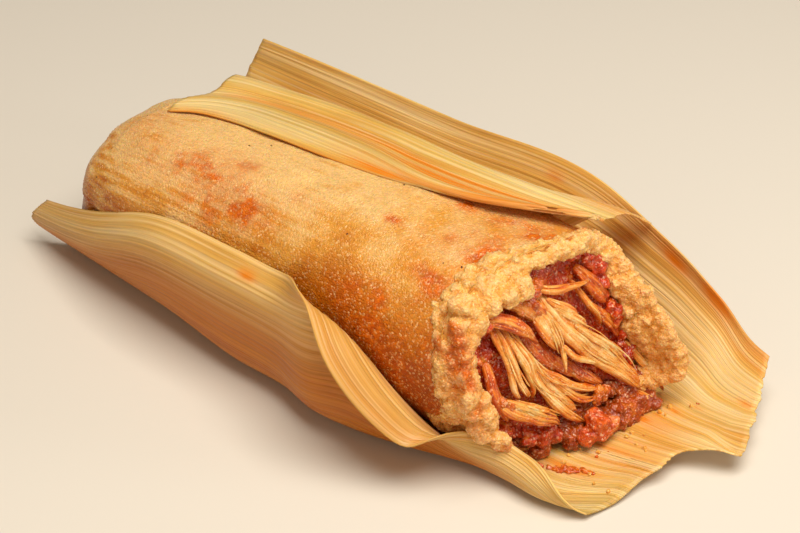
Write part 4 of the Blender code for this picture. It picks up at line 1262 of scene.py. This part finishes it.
tomato_material = sauce_finish("stewed_tomato", deep="#B83008", mid="#E0601A", oily="#F6A458")
tomato_centres = np.array([[47.2, 0.6, 4.4], [47.5, 3.0, 3.9], [46.8, -1.4, 3.7], [46.3, 1.0, 6.0]])
tomato_sizes = np.array([[2.2, 2.4, 2.3], [1.9, 1.8, 1.8], [1.8, 1.7, 1.7], [1.5, 1.7, 1.5]])
tomato_points, tomato_faces = lumps(
    tomato_centres, tomato_sizes, rough=0.35, seed=95, rows=26, columns=40, grain=0.5, block=0.7,
)
tomato_points, tomato_faces = joined_skin(tomato_points, tomato_faces, voxel=0.22)
tomato = add_piece("tomato_chunk", tomato_points, tomato_faces, tomato_material)
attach(tomato, "root")
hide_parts("tomato_piece")


# A flake of sauce and a few drops and crumbs have fallen on the tongue of the husk.
smear_centres = np.array([
    [46.2, -10.2, 0.8], [47.4, -9.0, 0.85], [48.8, -8.2, 0.9], [50.2, -7.4, 0.9], [51.4, -7.0, 0.95],
    [44.6, -10.6, 0.8], [42.8, -11.4, 0.8], [50.8, -0.4, 1.0], [53.2, 13.4, 1.4], [54.6, 17.2, 1.9],
    [49.6, -2.6, 0.9], [56.4, 20.6, 2.6],
])
smear_sizes = np.array([
    [1.3, 0.8, 0.35], [1.4, 0.9, 0.4], [1.3, 0.8, 0.35], [1.2, 0.7, 0.35], [0.8, 0.5, 0.3], [0.7, 0.6, 0.35],
    [0.9, 0.7, 0.5], [0.5, 0.35, 0.3], [1.1, 0.3, 0.2], [0.8, 0.25, 0.2], [0.4, 0.35, 0.3], [0.6, 0.25, 0.2],
])
smear_points, smear_faces = lumps(smear_centres, smear_sizes, rough=0.35, seed=401, rows=16, columns=24)
smear_points, smear_faces = joined_skin(smear_points, smear_faces, voxel=0.14)
thin_sauce = sauce_finish("thin_chile_sauce", deep="#C0440A", mid="#E27418", oily="#F4A44C")
smears = add_piece("sauce_smears", smear_points, smear_faces, thin_sauce)
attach(smears, "root")

STRAYS = 22
stray_x = rng.uniform(43.0, 58.0, STRAYS)
stray_y = rng.uniform(-11.0, 20.0, STRAYS)
stray_z = 0.75 + tongue_lift(stray_x, stray_y)
stray_sizes = rng.uniform(0.22, 0.5, (STRAYS, 1)) * rng.uniform(0.8, 1.25, (STRAYS, 3))
stray_centres = np.stack([stray_x, stray_y, stray_z], -1)
stray_points, stray_faces = lumps(stray_centres, stray_sizes, rough=0.35, seed=411)
strays = add_piece(
    "stray_crumbs", stray_points, stray_faces, dough_material, marks={"lip": np.ones(len(stray_points))},
)
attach(strays, "root")


# ------------------------------------------------------------------------------------------------
# The studio: a plain pale floor under the tamale, a large soft box above and in front of it, a weak one
# from the near side and a small one from the torn end, which puts the shine on the sauce.
# ------------------------------------------------------------------------------------------------

def soft_light(name, place, size, power, colour):
    """A square soft box at that place in metres, turned to the middle of the tamale."""
    lamp = bpy.data.lights.new(name, "AREA")
    lamp.energy = power
    lamp.size = size
    lamp.color = linear(colour)[:3]
    box = bpy.data.objects.new(name, lamp)
    bpy.context.scene.collection.objects.link(box)
    box.location = place
    box.rotation_euler = (Vector((0, 0, 0.02)) - Vector(place)).to_track_quat("-Z", "Y").to_euler()


floor_mesh = bpy.data.meshes.new("floor")
floor_corners = ((-3.0, -3.0), (3.0, -3.0), (3.0, 3.0), (-3.0, 3.0))
floor_mesh.from_pydata([(x, y, -0.0004) for x, y in floor_corners], [], [(0, 1, 2, 3)])
floor_finish, floor_tree, floor_shader = new_finish("pale_floor")
plug(floor_tree, floor_shader, {"Base Color": linear("#DCD6CC"), "Roughness": 0.8})
floor_mesh.materials.append(floor_finish)
floor = bpy.data.objects.new("floor", floor_mesh)
bpy.context.scene.collection.objects.link(floor)

soft_light("key", (0.18, -0.05, 0.58), size=0.40, power=4.4, colour="#FFF8EC")
soft_light("fill", (0.30, -0.50, 0.28), size=0.5, power=0.75, colour="#FFE9CC")
soft_light("shine", (0.44, 0.22, 0.16), size=0.16, power=0.40, colour="#FFFAF2")
world = bpy.data.worlds.new("studio")
bpy.context.scene.world = world
world.use_nodes = True
sky = world.node_tree
plug(sky, sky.nodes["Background"], {"Color": linear("#FFE8CC"), "Strength": 0.16})
bpy.context.scene.view_settings.view_transform = "Standard"

# The camera stands 427 mm away, 40 degrees round towards the torn end and 35 degrees up.
CAMERA_DISTANCE = 0.427
CAMERA_TURN, CAMERA_RISE = np.radians(40.0), np.radians(35.0)
target = Vector((np.array([0.0, 0.0, 20.0]) - MIDDLE) * MM)
level = np.cos(CAMERA_RISE)
back = Vector((np.sin(CAMERA_TURN) * level, -np.cos(CAMERA_TURN) * level, np.sin(CAMERA_RISE)))
lens = bpy.data.cameras.new("camera")
lens.lens = 100.0
lens.sensor_width = 36.0
camera = bpy.data.objects.new("camera", lens)
bpy.context.scene.collection.objects.link(camera)
camera.location = target + back * CAMERA_DISTANCE
camera.rotation_euler = (-back).to_track_quat("-Z", "Y").to_euler()
bpy.context.scene.camera = camera
